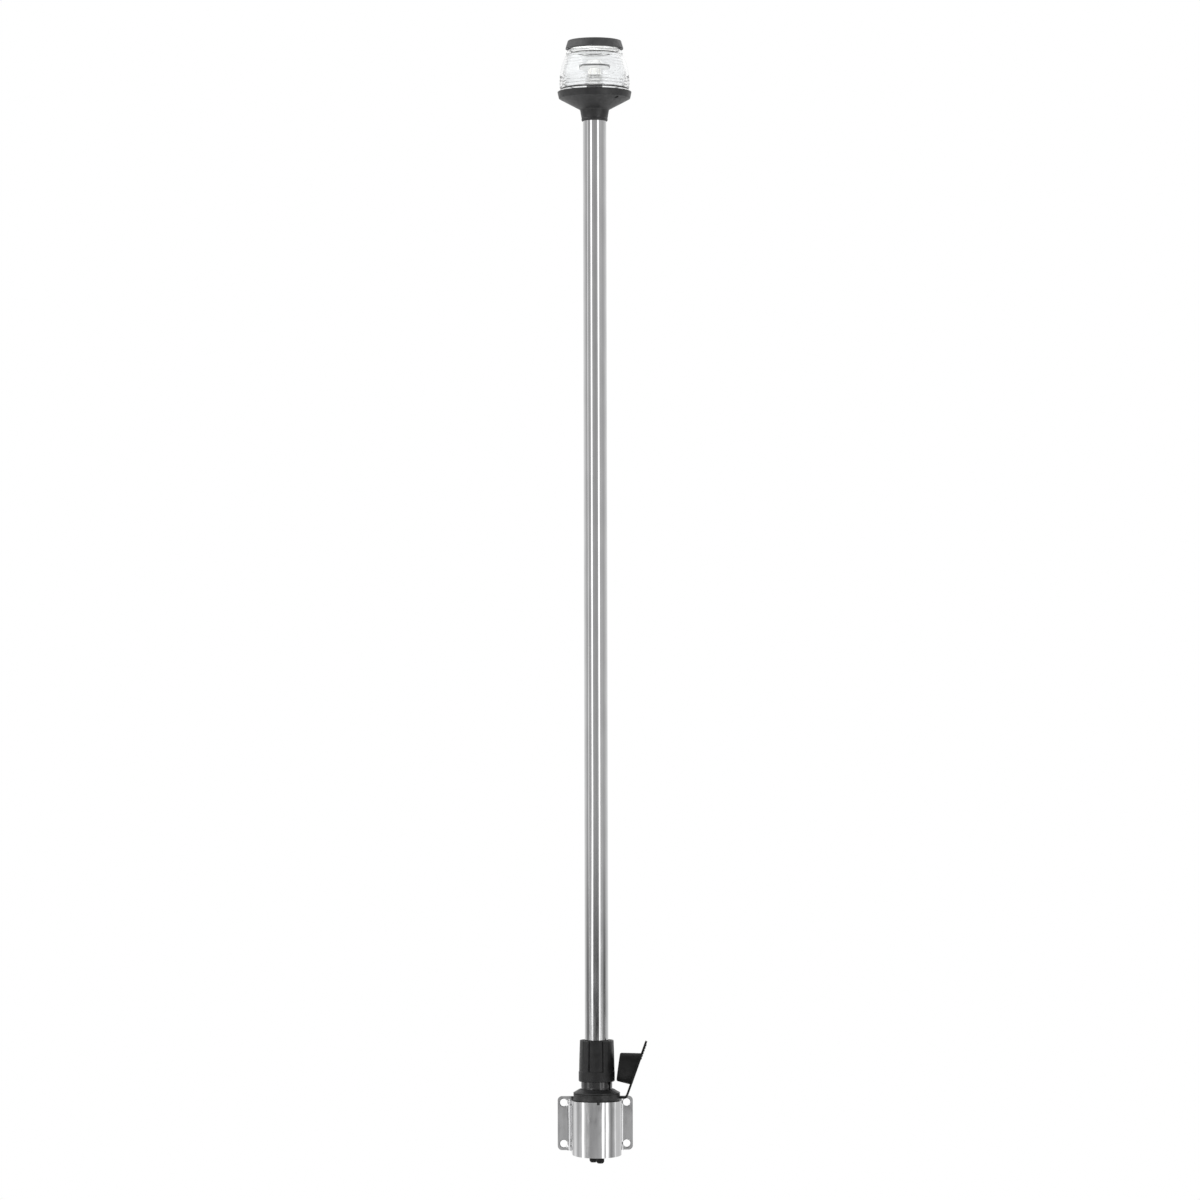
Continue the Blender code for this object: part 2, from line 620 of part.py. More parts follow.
def head_base(mats, axis):
    tube_bore = TUBE_RADIUS + GAP
    foot_inner = 25.6
    outline = [
        (tube_bore, COLLAR_BOTTOM),
        (COLLAR_RADIUS - 1.1, COLLAR_BOTTOM),
        (COLLAR_RADIUS - 0.3, COLLAR_BOTTOM + 0.4),
        (COLLAR_RADIUS, COLLAR_BOTTOM + 1.2),
        (COLLAR_RADIUS, CONE_BOTTOM - 0.4),
        (COLLAR_RADIUS + 0.4, CONE_BOTTOM),
        (BAND_BOTTOM_RADIUS, BAND_BOTTOM),
        (BAND_TOP_RADIUS, BAND_TOP - 0.5),
        (BAND_TOP_RADIUS - 0.5, BAND_TOP),
        (LENS_FOOT_RADIUS + GAP, BAND_TOP),
        (LENS_FOOT_RADIUS + GAP, LENS_SEAT),
        (foot_inner - GAP, LENS_SEAT),
        (foot_inner - GAP, POST_FOOT - GAP),
        (3.9, POST_FOOT - GAP),
        (3.9, TUBE_TOP + GAP),
        (tube_bore, TUBE_TOP + GAP),
    ]
    base = turned("head_base", outline, mats["nylon"], axis)
    for number in (0, 1):
        place = circle(LENS_SCREW_CIRCLE, LENS_SCREW_ANGLE + 180 * number)
        recess = [(0, 868.0), (1.45, 868.0), (1.45, 874.4), (1.05, 874.4), (1.05, 877.0),
                  (0, 877.0)]
        combine(base, turned(f"lens_screw_cutter_{number}", recess, None, axis, SMALL_SIDES,
                             place))
        place = (POST_SCREW_CIRCLE * (1 - 2 * number), 0)
        pilot = rod_outline(1.1, 872.2, 877.5)
        combine(base, turned(f"post_pilot_cutter_{number}", pilot, None, axis, SMALL_SIDES,
                             place))
    grub_hole = rod_outline(1.8, -13.5, -9.5)
    grub_cutter = turned("collar_grub_cutter", grub_hole, None, axis, SMALL_SIDES, (0, 858.5), "Y")
    combine(base, grub_cutter)
    return base


def lens_curve(offset, low, high, steps):
    """Points of the lens's bowed side, moved inwards by an offset, between two heights."""
    drop = LENS_WIDEST - LENS_TOP_RADIUS
    rise = LENS_TOP_HEIGHT - LENS_WIDEST_HEIGHT
    bow = (rise ** 2 + drop ** 2) / (2 * drop)
    points = []
    for step in range(steps + 1):
        height = low + (high - low) * step / steps
        lift = height - LENS_WIDEST_HEIGHT
        radius = LENS_WIDEST - bow + math.sqrt(bow ** 2 - lift ** 2)
        points.append((radius - offset, height))
    return points


def lens_parts(mats, axis):
    foot = LENS_SEAT + GAP
    foot_inner = 25.6
    top = CAP_BOTTOM - GAP
    outline = [(foot_inner, foot), (LENS_FOOT_RADIUS, foot), (LENS_FOOT_RADIUS, LENS_LEDGE),
               (LENS_WIDEST, 882.0)]
    outline += lens_curve(0, LENS_WIDEST_HEIGHT, LENS_TOP_HEIGHT, 4)
    outline += [(LENS_TOP_RADIUS, 910.6), (22.8, top), (19.8, top), (19.8, 911.4)]
    outline += [(LENS_TOP_RADIUS - LENS_WALL, 911.4)]
    outline += reversed(lens_curve(LENS_WALL, LENS_WIDEST_HEIGHT, LENS_TOP_HEIGHT, 4))
    outline += [(LENS_WIDEST - LENS_WALL, LENS_LEDGE), (foot_inner, LENS_LEDGE)]
    cover = turned("lens_cover", outline, mats["clear"], axis)
    hole = rod_outline(1.05, LENS_SEAT - 1, LENS_LEDGE - 0.6)
    tip = LENS_LEDGE - 0.9
    screw = [(0, 872.9), (1.15, 872.9), (1.15, 874.1), (0.75, 874.1), (0.75, tip), (0, tip)]
    for number in (0, 1):
        place = circle(LENS_SCREW_CIRCLE, LENS_SCREW_ANGLE + 180 * number)
        combine(cover, turned(f"foot_hole_cutter_{number}", hole, None, axis, SMALL_SIDES,
                              place))
        turned(f"lens_screw_{number + 1}", screw, mats["steel"], axis, SMALL_SIDES, place)

    turned("lens_seal_lower", ring_outline(27.1, LENS_LEDGE + 0.9, 1.1), mats["rubber"], axis)
    turned("lens_seal_upper", ring_outline(21.1, 909.7, 1.0), mats["rubber"], axis)
    clear_of_cover = LENS_WALL + 0.5
    insert_low = LENS_LEDGE + 1.8
    insert_high = 908.9
    outer = lens_curve(clear_of_cover, insert_low, insert_high, 4)
    inner = lens_curve(clear_of_cover + INSERT_WALL, insert_low, insert_high, 4)
    turned("fresnel_insert", outer + inner[::-1], mats["clear"], axis)


def cap_parts(mats, axis):
    cap = [(0, CAP_BOTTOM), (CAP_BOTTOM_RADIUS, CAP_BOTTOM),
           (CAP_BOTTOM_RADIUS, CAP_BOTTOM + 0.6), (CAP_TOP_RADIUS, CAP_TOP - 0.6),
           (CAP_TOP_RADIUS - 0.6, CAP_TOP), (0, CAP_TOP)]
    lid = turned("top_cap", cap, mats["nylon"], axis)
    combine(lid, turned("cap_pilot_cutter", rod_outline(1.3, 912, 918.3), None, axis,
                        SMALL_SIDES))
    plate = tube_outline(1.6, 19.3, 911.5, CAP_BOTTOM - GAP)
    turned("reflector_plate", plate, mats["white"], axis)
    screw = [(0, 909.9), (2.0, 909.9), (2.6, 910.4), (2.6, 911.2), (1.0, 911.2), (1.0, 918.0),
             (0, 918.0)]
    turned("reflector_screw", screw, mats["steel"], axis, SMALL_SIDES)


def light_engine(mats, axis):
    post_top = 885.2
    foot = [(2.3, POST_FOOT), (7.4, POST_FOOT), (7.4, 879.2), (5.2, post_top - 2.2),
            (4.0, post_top), (2.3, post_top)]
    post = turned("led_post", foot, mats["nylon"], axis, 24)
    screw = [(0, 873.0), (0.8, 873.0), (0.8, 878.3), (1.4, 878.3), (1.4, 879.6), (0, 879.6)]
    recess = [(0, 876.0), (1.1, 876.0), (1.1, 878.0), (1.7, 878.0), (1.7, 884.0), (0, 884.0)]
    for number in (0, 1):
        place = (POST_SCREW_CIRCLE * (1 - 2 * number), 0)
        combine(post, turned(f"post_hole_cutter_{number}", recess, None, axis, SMALL_SIDES,
                             place))
        turned(f"post_screw_{number + 1}", screw, mats["steel"], axis, SMALL_SIDES, place)

    carrier = tube_outline(CABLE_BORE, CARRIER_RADIUS, post_top + GAP,
                           UPPER_BOARD_HEIGHT - GAP)
    turned("led_carrier", carrier, mats["white"], axis, LED_COUNT)
    for name, height, inner, outer in (
            ("led_board_lower", LOWER_BOARD_HEIGHT, CARRIER_RADIUS + 0.4, LOWER_BOARD_RADIUS),
            ("led_board_upper", UPPER_BOARD_HEIGHT, CABLE_BORE, UPPER_BOARD_RADIUS)):
        disc = tube_outline(inner, outer, height, height + BOARD_THICKNESS)
        turned(name, disc, mats["board"], axis, 24)
    face = CARRIER_RADIUS * math.cos(math.pi / LED_COUNT) + GAP
    for number in range(LED_COUNT):
        chip = box_outline((face, -1.3), (face + 0.9, 1.3))
        led = prism(f"led_{number + 1}", chip, LOWER_BOARD_HEIGHT + 2.3, UPPER_BOARD_HEIGHT - 1.0, mats["led"], axis)
        turn_about_axis(led, (number + 0.5) * 360 / LED_COUNT)
    driver_low = UPPER_BOARD_HEIGHT + BOARD_THICKNESS + GAP
    driver_top = driver_low + 4.3
    driver = [(0, driver_low), (6.5, driver_low), (6.5, driver_top - 1.0), (5.6, driver_top),
              (0, driver_top)]
    turned("led_driver", driver, mats["white"], axis, 24)


# ---------------------------------------------------------------- assembly

def build():
    clear_scene()
    mats = make_materials()
    bracket_frame = empty("bracket_frame", (0, 0, 0))
    socket_axis = empty("socket_axis", AXIS)
    pole_axis = empty("pole_axis", AXIS)
    ring_axis = empty("ring_axis", AXIS)
    root = circle(HINGE_REACH, STRAP_TURN)
    cap_hinge = empty("cap_hinge", (root[0], AXIS_Y + root[1], HINGE_Z), STRAP_TURN)

    wall_bracket(mats, bracket_frame)
    socket_body(mats, socket_axis)
    socket_fittings(mats, bracket_frame, socket_axis)
    cap_strap_ring(mats, socket_axis)
    dust_cap(mats, cap_hinge)
    plug_body(mats, pole_axis)
    plug_fittings(mats, pole_axis)
    lock_sleeve(mats, ring_axis)
    locking_ring(mats, ring_axis)
    pole(mats, pole_axis)
    head_base(mats, pole_axis)
    lens_parts(mats, pole_axis)
    cap_parts(mats, pole_axis)
    light_engine(mats, pole_axis)


build()
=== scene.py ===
"""The look of the pull-out navigation light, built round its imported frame.

Lengths in the shape code are millimetres in the frame's own axes (+Z up, front towards -Y, origin
in the middle of the bracket's screw holes, on its back face); the mesh builders turn them into
metres. Heights and radii that the CAD already holds are read from the frame's boxes.
"""
import math

import bmesh
import bpy
from mathutils import Matrix, Vector


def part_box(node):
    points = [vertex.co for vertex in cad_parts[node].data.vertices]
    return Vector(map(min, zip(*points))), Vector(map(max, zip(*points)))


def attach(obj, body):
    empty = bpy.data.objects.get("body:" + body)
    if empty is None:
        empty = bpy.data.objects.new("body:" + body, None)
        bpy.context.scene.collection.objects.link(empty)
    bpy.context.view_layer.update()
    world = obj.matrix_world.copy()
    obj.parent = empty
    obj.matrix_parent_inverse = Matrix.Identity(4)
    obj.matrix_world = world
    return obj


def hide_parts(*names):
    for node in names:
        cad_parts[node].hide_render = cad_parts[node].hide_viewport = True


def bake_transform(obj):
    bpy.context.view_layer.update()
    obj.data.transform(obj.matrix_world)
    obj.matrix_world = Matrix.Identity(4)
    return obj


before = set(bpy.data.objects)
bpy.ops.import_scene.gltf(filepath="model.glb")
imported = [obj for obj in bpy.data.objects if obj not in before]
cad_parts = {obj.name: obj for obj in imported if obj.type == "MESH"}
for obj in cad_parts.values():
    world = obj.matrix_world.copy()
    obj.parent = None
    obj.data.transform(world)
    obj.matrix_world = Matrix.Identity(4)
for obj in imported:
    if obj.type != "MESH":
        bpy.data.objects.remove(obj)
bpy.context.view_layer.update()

MM = 0.001


def span(node):
    """A node's box in millimetres: (lowest corner, highest corner)."""
    low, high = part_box(node)
    return low / MM, high / MM


def reach(node):
    """Radius of a turned node, from the width of its box."""
    low, high = span(node)
    return (high.x - low.x) / 2


def reach_back(node):
    """Radius of a turned node behind the pole's axis, where nothing sticks out of it."""
    return span(node)[1].y - AXIS.y


def middle(node):
    """Middle of a node's box, seen from above."""
    low, high = span(node)
    return (low.x + high.x) / 2, (low.y + high.y) / 2


def mid_height(node):
    low, high = span(node)
    return (low.z + high.z) / 2


tube_low, tube_high = span("pole_tube")
AXIS = Vector((*middle("pole_tube"), 0))
TUBE_RADIUS = reach("pole_tube")

GAP = 0.3                                    # clearance between pieces that fit together
BARREL_RADIUS = 17.2                         # outside of the socket's barrel
BORE_RADIUS = 13.5                           # inside of the socket
LUG_RADIUS = 14.4                            # depth of the socket's chamber, slots and keyway
SOCKET_FLOOR = -14.0
PLUG_RADIUS = 13.2
KEY_ANGLE = 135
EAR_HOLE_ACROSS = 26.8
EAR_HOLE_UP = 17.45

# Locking ring: the ribs' number, and the first one's middle and half width in degrees
RIBS = 5
FIRST_RIB = 29.6 - 90
HALF_RIB = 10.8

# Lens: outer radii and heights of the bowed side, its wall, and the foot that holds it
LENS_WIDEST = 29.8
LENS_WIDEST_HEIGHT = 884.5
LENS_TOP = 24.05
LENS_TOP_HEIGHT = 909.5
LENS_WALL = 1.9
LENS_FOOT = 29.2
LENS_LEDGE = 879.2


# ---------------------------------------- materials

def surface(name, colour, roughness, metallic=0.0, **sockets):
    """A Principled material; further sockets are given by name, with _ for a space."""
    material = bpy.data.materials.new(name)
    material.use_nodes = True
    shader = material.node_tree.nodes["Principled BSDF"]
    shader.inputs["Base Color"].default_value = (*colour, 1.0)
    shader.inputs["Roughness"].default_value = roughness
    shader.inputs["Metallic"].default_value = metallic
    for socket, value in sockets.items():
        shader.inputs[socket.replace("_", " ")].default_value = value
    return material


def noise(material, scale, detail=3.0, stretch=(1, 1, 1), roughness=0.5):
    """Noise over the object's own coordinates; its scale counts features to the metre."""
    nodes = material.node_tree.nodes
    links = material.node_tree.links
    place = nodes.new("ShaderNodeTexCoord")
    mapping = nodes.new("ShaderNodeMapping")
    mapping.inputs["Scale"].default_value = stretch
    texture = nodes.new("ShaderNodeTexNoise")
    texture.inputs["Scale"].default_value = scale
    texture.inputs["Detail"].default_value = detail
    texture.inputs["Roughness"].default_value = roughness
    links.new(place.outputs["Object"], mapping.inputs["Vector"])
    links.new(mapping.outputs["Vector"], texture.inputs["Vector"])
    return texture.outputs["Fac"]


def vary_colour(material, source, dark, light, low=0.35, high=0.65):
    nodes = material.node_tree.nodes
    links = material.node_tree.links
    ramp = nodes.new("ShaderNodeValToRGB")
    ramp.color_ramp.elements[0].position = low
    ramp.color_ramp.elements[0].color = (*dark, 1.0)
    ramp.color_ramp.elements[1].position = high
    ramp.color_ramp.elements[1].color = (*light, 1.0)
    links.new(source, ramp.inputs["Fac"])
    links.new(ramp.outputs["Color"], nodes["Principled BSDF"].inputs["Base Color"])


def vary_roughness(material, source, smooth, rough):
    nodes = material.node_tree.nodes
    links = material.node_tree.links
    spread = nodes.new("ShaderNodeMapRange")
    spread.inputs["From Min"].default_value = 0.3
    spread.inputs["From Max"].default_value = 0.7
    spread.inputs["To Min"].default_value = smooth
    spread.inputs["To Max"].default_value = rough
    links.new(source, spread.inputs["Value"])
    links.new(spread.outputs["Result"], nodes["Principled BSDF"].inputs["Roughness"])


def add_bump(material, source, height, strength=1.0):
    """Bump of a height in metres; a second call adds a finer bump on top of the first."""
    nodes = material.node_tree.nodes
    links = material.node_tree.links
    normal = nodes["Principled BSDF"].inputs["Normal"]
    bump = nodes.new("ShaderNodeBump")
    bump.inputs["Distance"].default_value = height
    bump.inputs["Strength"].default_value = strength
    links.new(source, bump.inputs["Height"])
    if normal.is_linked:
        links.new(normal.links[0].from_socket, bump.inputs["Normal"])
    links.new(bump.outputs["Normal"], normal)


def polished_steel(name, wave_height, wave_scale, stretch):
    """Mirror-polished stainless: soft waves left by the buffing wheel, and faint haze."""
    steel = surface(name, (0.62, 0.62, 0.625), 0.07, 1.0)
    haze = noise(steel, 90, 4, (1, 1, 0.35))
    vary_colour(steel, haze, (0.60, 0.60, 0.605), (0.655, 0.655, 0.66))
    vary_roughness(steel, noise(steel, 260, 5, (1, 1, 0.12)), 0.045, 0.11)
    add_bump(steel, noise(steel, wave_scale, 1.5, stretch, 0.35), wave_height)
    add_bump(steel, noise(steel, 2600, 2, (1, 1, 0.04)), 0.0000012)
    return steel


def moulded(name, dark, light, smooth, rough, grain_height, grain_scale=2600, **sockets):
    """Moulded plastic or rubber: fine grain, patchy sheen, slight change of colour."""
    made = surface(name, light, rough, **sockets)
    vary_colour(made, noise(made, 170, 5), dark, light)
    vary_roughness(made, noise(made, 420, 4), smooth, rough)
    add_bump(made, noise(made, grain_scale, 3), grain_height)
    return made


def make_materials():
    mats = {
        "pole_steel": polished_steel("pole_steel", 0.000010, 60, (1, 1, 0.25)),
        "bracket_steel": polished_steel("bracket_steel", 0.000120, 120, (1, 1, 0.42)),
        "screw_steel": polished_steel("screw_steel", 0.000004, 600, (1, 1, 1)),
        "nylon": moulded("satin_nylon", (0.008, 0.008, 0.0085), (0.017, 0.017, 0.0175),
                         0.34, 0.52, 0.000024),
        "cap_nylon": moulded("cap_nylon", (0.034, 0.034, 0.035), (0.050, 0.050, 0.051),
                             0.40, 0.56, 0.000024),
        "ring_nylon": moulded("ring_nylon", (0.004, 0.004, 0.0043), (0.010, 0.010, 0.0103),
                              0.36, 0.54, 0.000034, 2000, Specular_IOR_Level=0.35),
        "glossy": moulded("glossy_nylon", (0.004, 0.004, 0.0043), (0.007, 0.007, 0.0073),
                          0.08, 0.15, 0.000006, Specular_IOR_Level=0.8),
        "rubber": moulded("soft_rubber", (0.003, 0.003, 0.003), (0.008, 0.008, 0.008),
                          0.50, 0.72, 0.000035, 1700, Specular_IOR_Level=0.22),
        "worn_rubber": moulded("worn_rubber", (0.003, 0.003, 0.003), (0.022, 0.022, 0.022),
                               0.26, 0.60, 0.000070, 1100, Specular_IOR_Level=0.4),
        "white": moulded("white_plastic", (0.80, 0.80, 0.79), (0.88, 0.88, 0.87),
                         0.28, 0.42, 0.000010),
        "matt_white": moulded("matt_white", (0.82, 0.82, 0.81), (0.88, 0.88, 0.87),
                              0.75, 0.90, 0.000010, Specular_IOR_Level=0.08),
        "board": moulded("circuit_board", (0.004, 0.005, 0.0045), (0.009, 0.011, 0.010),
                         0.50, 0.70, 0.000015, 900, Specular_IOR_Level=0.3),
        "driver": moulded("driver_case", (0.76, 0.76, 0.75), (0.84, 0.84, 0.83),
                          0.40, 0.55, 0.000012),
        "phosphor": moulded("led_phosphor", (0.75, 0.747, 0.71), (0.80, 0.797, 0.76),
                            0.22, 0.34, 0.000006),
        "jacket": moulded("cable_jacket", (0.02, 0.02, 0.02), (0.04, 0.04, 0.04),
                          0.42, 0.58, 0.000015),
    }
    brass = surface("plated_brass", (0.80, 0.66, 0.36), 0.22, 1.0)
    vary_colour(brass, noise(brass, 500, 4), (0.70, 0.56, 0.30), (0.84, 0.72, 0.42))
    vary_roughness(brass, noise(brass, 900, 3), 0.16, 0.32)
    mats["brass"] = brass
    for name, tint in (("clear_cover", (0.985, 0.99, 0.99)), ("clear_insert", (0.98, 0.985, 0.99))):
        clear = surface(name, tint, 0.012, 0.0, IOR=1.49, Transmission_Weight=1.0)
        vary_roughness(clear, noise(clear, 300, 4), 0.004, 0.03)
        add_bump(clear, noise(clear, 220, 2), 0.000006)
        mats[name] = clear
    return mats


# ---------------------------------------- mesh helpers

def rounded(outline, steps=5):
    """Round the corners of a closed outline: each point is (u, v) or (u, v, setback)."""
    points = []
    count = len(outline)
    for k, corner in enumerate(outline):
        here = Vector(corner[:2])
        if len(corner) == 2:
            points.append(here)
            continue
        back = Vector(outline[k - 1][:2]) - here
        ahead = Vector(outline[(k + 1) % count][:2]) - here
        cut = min(corner[2], 0.48 * back.length, 0.48 * ahead.length)
        start = here + back.normalized() * cut
        end = here + ahead.normalized() * cut
        for step in range(steps + 1):
            share = step / steps
            points.append(start.lerp(here, share).lerp(here.lerp(end, share), share))
    return points


def circle(radius, angle):
    return Vector((radius * math.cos(math.radians(angle)), radius * math.sin(math.radians(angle))))


def arc(centre, radius, start, end, steps):
    turn = [start + (end - start) * step / steps for step in range(steps + 1)]
    return [Vector(centre) + circle(radius, angle) for angle in turn]


def bridge(bm, ring, following):
    for k in range(len(ring)):
        corners = dict.fromkeys((ring[k - 1], ring[k], following[k], following[k - 1]))
        if len(corners) > 2:
            bm.faces.new(corners)


def add_lathe(bm, outline, sides, at=(0, 0), steps=5):
    """Turn a closed (radius, height) outline about an upright axis through at."""
    rings = []
    for radius, height in rounded(outline, steps):
        if radius < 0.001:
            rings.append([bm.verts.new(Vector((at[0], at[1], height)) * MM)] * sides)
            continue
        turn = [circle(radius, 360 * k / sides) for k in range(sides)]
        rings.append([bm.verts.new(Vector((at[0] + p.x, at[1] + p.y, height)) * MM) for p in turn])
    for ring, following in zip(rings, rings[1:] + rings[:1]):
        bridge(bm, ring, following)


def add_prism(bm, outline, low, high, place):
    """Extrude a closed outline; place(u, v, depth) gives a point in millimetres."""
    ends = []
    for depth in (low, high):
        ends.append([bm.verts.new(Vector(place(u, v, depth)) * MM) for u, v in outline])
    bm.faces.new(ends[0])
    bm.faces.new(ends[1])
    bridge(bm, ends[0], ends[1])


def upright(u, v, depth):
    return (u, -depth, v)


def flat(u, v, depth):
    return (u, v, depth)


def sideways(u, v, depth):
    return (depth, u, v)


def make(name, bm, material, sharp=32):
    """Turn a bmesh drawn in the frame's axes into a smooth-shaded object."""
    bmesh.ops.recalc_face_normals(bm, faces=bm.faces)
    mesh = bpy.data.meshes.new(name)
    bm.to_mesh(mesh)
    bm.free()
    mesh.shade_smooth()
    mesh.set_sharp_from_angle(angle=math.radians(sharp))
    mesh.materials.append(material)
    made = bpy.data.objects.new(name, mesh)
    bpy.context.scene.collection.objects.link(made)
    return made


def settle(made):
    """Weight the shading normals by face area, so that only rounded edges shade as rounded."""
    weigh = made.modifiers.new("weigh", "WEIGHTED_NORMAL")
    weigh.mode = "FACE_AREA"
    weigh.weight = 100
    weigh.keep_sharp = True
    bpy.context.view_layer.update()
    graph = bpy.context.evaluated_depsgraph_get()
    mesh = bpy.data.meshes.new_from_object(made.evaluated_get(graph))
    made.modifiers.clear()
    made.data = mesh
    return made


def fit(made, body, nodes):
    """Hang a finished piece on its body, in place of the CAD nodes it stands for."""
    settle(made)
    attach(made, body)
    if nodes:
        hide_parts(*nodes)


def apply_modifiers(made, sharp=32):
    graph = bpy.context.evaluated_depsgraph_get()
    mesh = bpy.data.meshes.new_from_object(made.evaluated_get(graph))
    made.modifiers.clear()
    made.data = mesh
    mesh.shade_smooth()
    mesh.set_sharp_from_angle(angle=math.radians(sharp))


def carve(made, tools, operation="DIFFERENCE"):
    """Cut the tools from the piece, or join them to it, and throw the tools away."""
    for cutter in tools:
        modifier = made.modifiers.new(cutter.name, "BOOLEAN")
        modifier.operation = operation
        modifier.solver = "EXACT"
        modifier.object = cutter
    bpy.context.view_layer.update()
    apply_modifiers(made)
    for cutter in tools:
        bpy.data.objects.remove(cutter, do_unlink=True)


def soften(made, width, segments=3, angle=35, sharp=40):
    """Bevel the hard edges, in millimetres."""
    bevel = made.modifiers.new("soften", "BEVEL")
    bevel.width = width * MM
    bevel.segments = segments
    bevel.limit_method = "ANGLE"
    bevel.angle_limit = math.radians(angle)
    bpy.context.view_layer.update()
    apply_modifiers(made, sharp)


def lathe(name, outline, material, sides=96, at=None, steps=5):
    bm = bmesh.new()
    add_lathe(bm, outline, sides, at or (AXIS.x, AXIS.y), steps)
    return make(name, bm, material)


def tool(outline, sides=48, at=None):
    """A round cutter on an upright axis."""
    return lathe("tool", outline, bpy.data.materials[0], sides, at)


def rod(radius, low, high):
    return [(0, low), (radius, low), (radius, high), (0, high)]


def prism(name, outline, low, high, place, material):
    bm = bmesh.new()
    add_prism(bm, outline, low, high, place)
    return make(name, bm, material)


def rectangle(half_u, half_v, centre=(0, 0)):
    u, v = centre
    return [(u - half_u, v - half_v), (u + half_u, v - half_v),
            (u + half_u, v + half_v), (u - half_u, v + half_v)]


def cross_recess(half_length, half_width, low, high, material, centre=(0, 0)):
    """Two crossed slots, to cut into a screw's head."""
    sizes = ((half_length, half_width), (half_width, half_length))
    return [prism("cross_tool", rectangle(*size, centre), low, high, flat, material) for size in sizes]


# ---------------------------------------- bracket

def from_the_back(up, across=0):
    """Lay a piece built along +Z so that it runs in from the bracket's back face."""
    place = Matrix.Translation(Vector((across, 0, up)) * MM)
    return place @ Matrix.Rotation(math.radians(90), 4, "X")


def back_tool(outline, up, across=0):
    """A round cutter that runs in from the bracket's back face."""
    cutter = tool(outline, at=(0, 0))
    cutter.data.transform(from_the_back(up, across))
    return cutter


def build_socket_screws(mats):
    """Countersunk screws with a cross recess, which hold the socket from behind."""
    for number in (1, 2):
        node = f"socket_screw_{number}"
        low, high = span(node)
        face = -high.y
        tip = -low.y
        made = lathe(f"socket_fixing_{number}", [
            (0, face), (2.9, face, 0.1), (2.9, 0.9, 0.1), (1.5, 2.3, 0.1), (1.5, tip, 0.3), (0, tip)],
            mats["screw_steel"], 48, (0, 0))
        carve(made, cross_recess(1.7, 0.32, face - 1, face + 1.1, mats["screw_steel"]))
        made.data.transform(from_the_back(mid_height(node)))
        fit(made, "bracket", [node])


def build_bracket(mats):
    steel = mats["bracket_steel"]
    low, high = span("wall_bracket")
    half_width = (high.x - low.x) / 2
    plate_top = high.z
    plate_thickness = 3.5
    bottom = low.z
    housing_radius = AXIS.y - low.y
    housing_top = span("cap_strap_ring")[0].z + 1.7

    corner = 3.6
    outline = []
    for number, (across, up) in enumerate(((1, 1), (-1, 1), (-1, -1), (1, -1))):
        centre = (across * (half_width - corner), up * (plate_top - corner))
        outline += arc(centre, corner, 90 * number, 90 * number + 90, 10)
    bracket = prism("bracket_shell", outline, 0, plate_thickness, upright, steel)

    # Half-round housing, flowing into the plate through a hollow fillet on each side.
    fillet = 3.2
    face = -plate_thickness
    foot = housing_radius + fillet
    right = arc((foot, face - fillet), fillet, 180, 90, 10)
    plan = arc((0, AXIS.y), housing_radius, 180, 360, 72) + right
    plan += [Vector((foot, face / 2)), Vector((-foot, face / 2))]
    plan += [Vector((-p.x, p.y)) for p in reversed(right)]
    carve(bracket, [prism("housing", plan, bottom, housing_top, flat, steel)], "UNION")

    front = AXIS.y - housing_radius
    slope = [(front - 1, bottom), (0, -plate_top), (2, -plate_top), (2, bottom - 5),
             (front - 1, bottom - 5)]
    tools = [prism("slope_tool", slope, -half_width - 2, half_width + 2, sideways, steel),
             tool(rod(BARREL_RADIUS + GAP, bottom - 5, plate_top + 5), 96)]
    ear_hole = [(0, -1), (3.2, -1), (3.2, 2.85), (4.1, 3.75), (4.1, 5), (0, 5)]
    for across in (-EAR_HOLE_ACROSS, EAR_HOLE_ACROSS):
        for up in (-EAR_HOLE_UP, EAR_HOLE_UP):
            tools.append(back_tool(ear_hole, up, across))
    countersink = [(0, -1), (3.2, -1), (3.2, 0.9), (1.8, 2.3), (1.8, 9), (0, 9)]
    for number in (1, 2):
        tools.append(back_tool(countersink, mid_height(f"socket_screw_{number}")))
    notch_back = AXIS.y - BARREL_RADIUS + 1
    notch = [(-1.1, front - 1), (1.1, front - 1), (1.1, notch_back), (-1.1, notch_back)]
    tools.append(prism("notch_tool", notch, housing_top - 2.0, housing_top + 3, flat, steel))
    carve(bracket, tools)
    soften(bracket, 0.45, 3, 38)
    fit(bracket, "bracket", ["wall_bracket"])


# ---------------------------------------- socket and its fittings

def key_outline(inner, outer, half_width):
    """The key that guides the plug, or its groove in the socket, seen from above."""
    out = circle(1, KEY_ANGLE)
    side = Vector((-out.y, out.x)) * half_width
    centre = Vector((AXIS.x, AXIS.y))
    near = centre + out * inner
    far = centre + out * outer
    return [near - side, far - side, far + side, near + side]


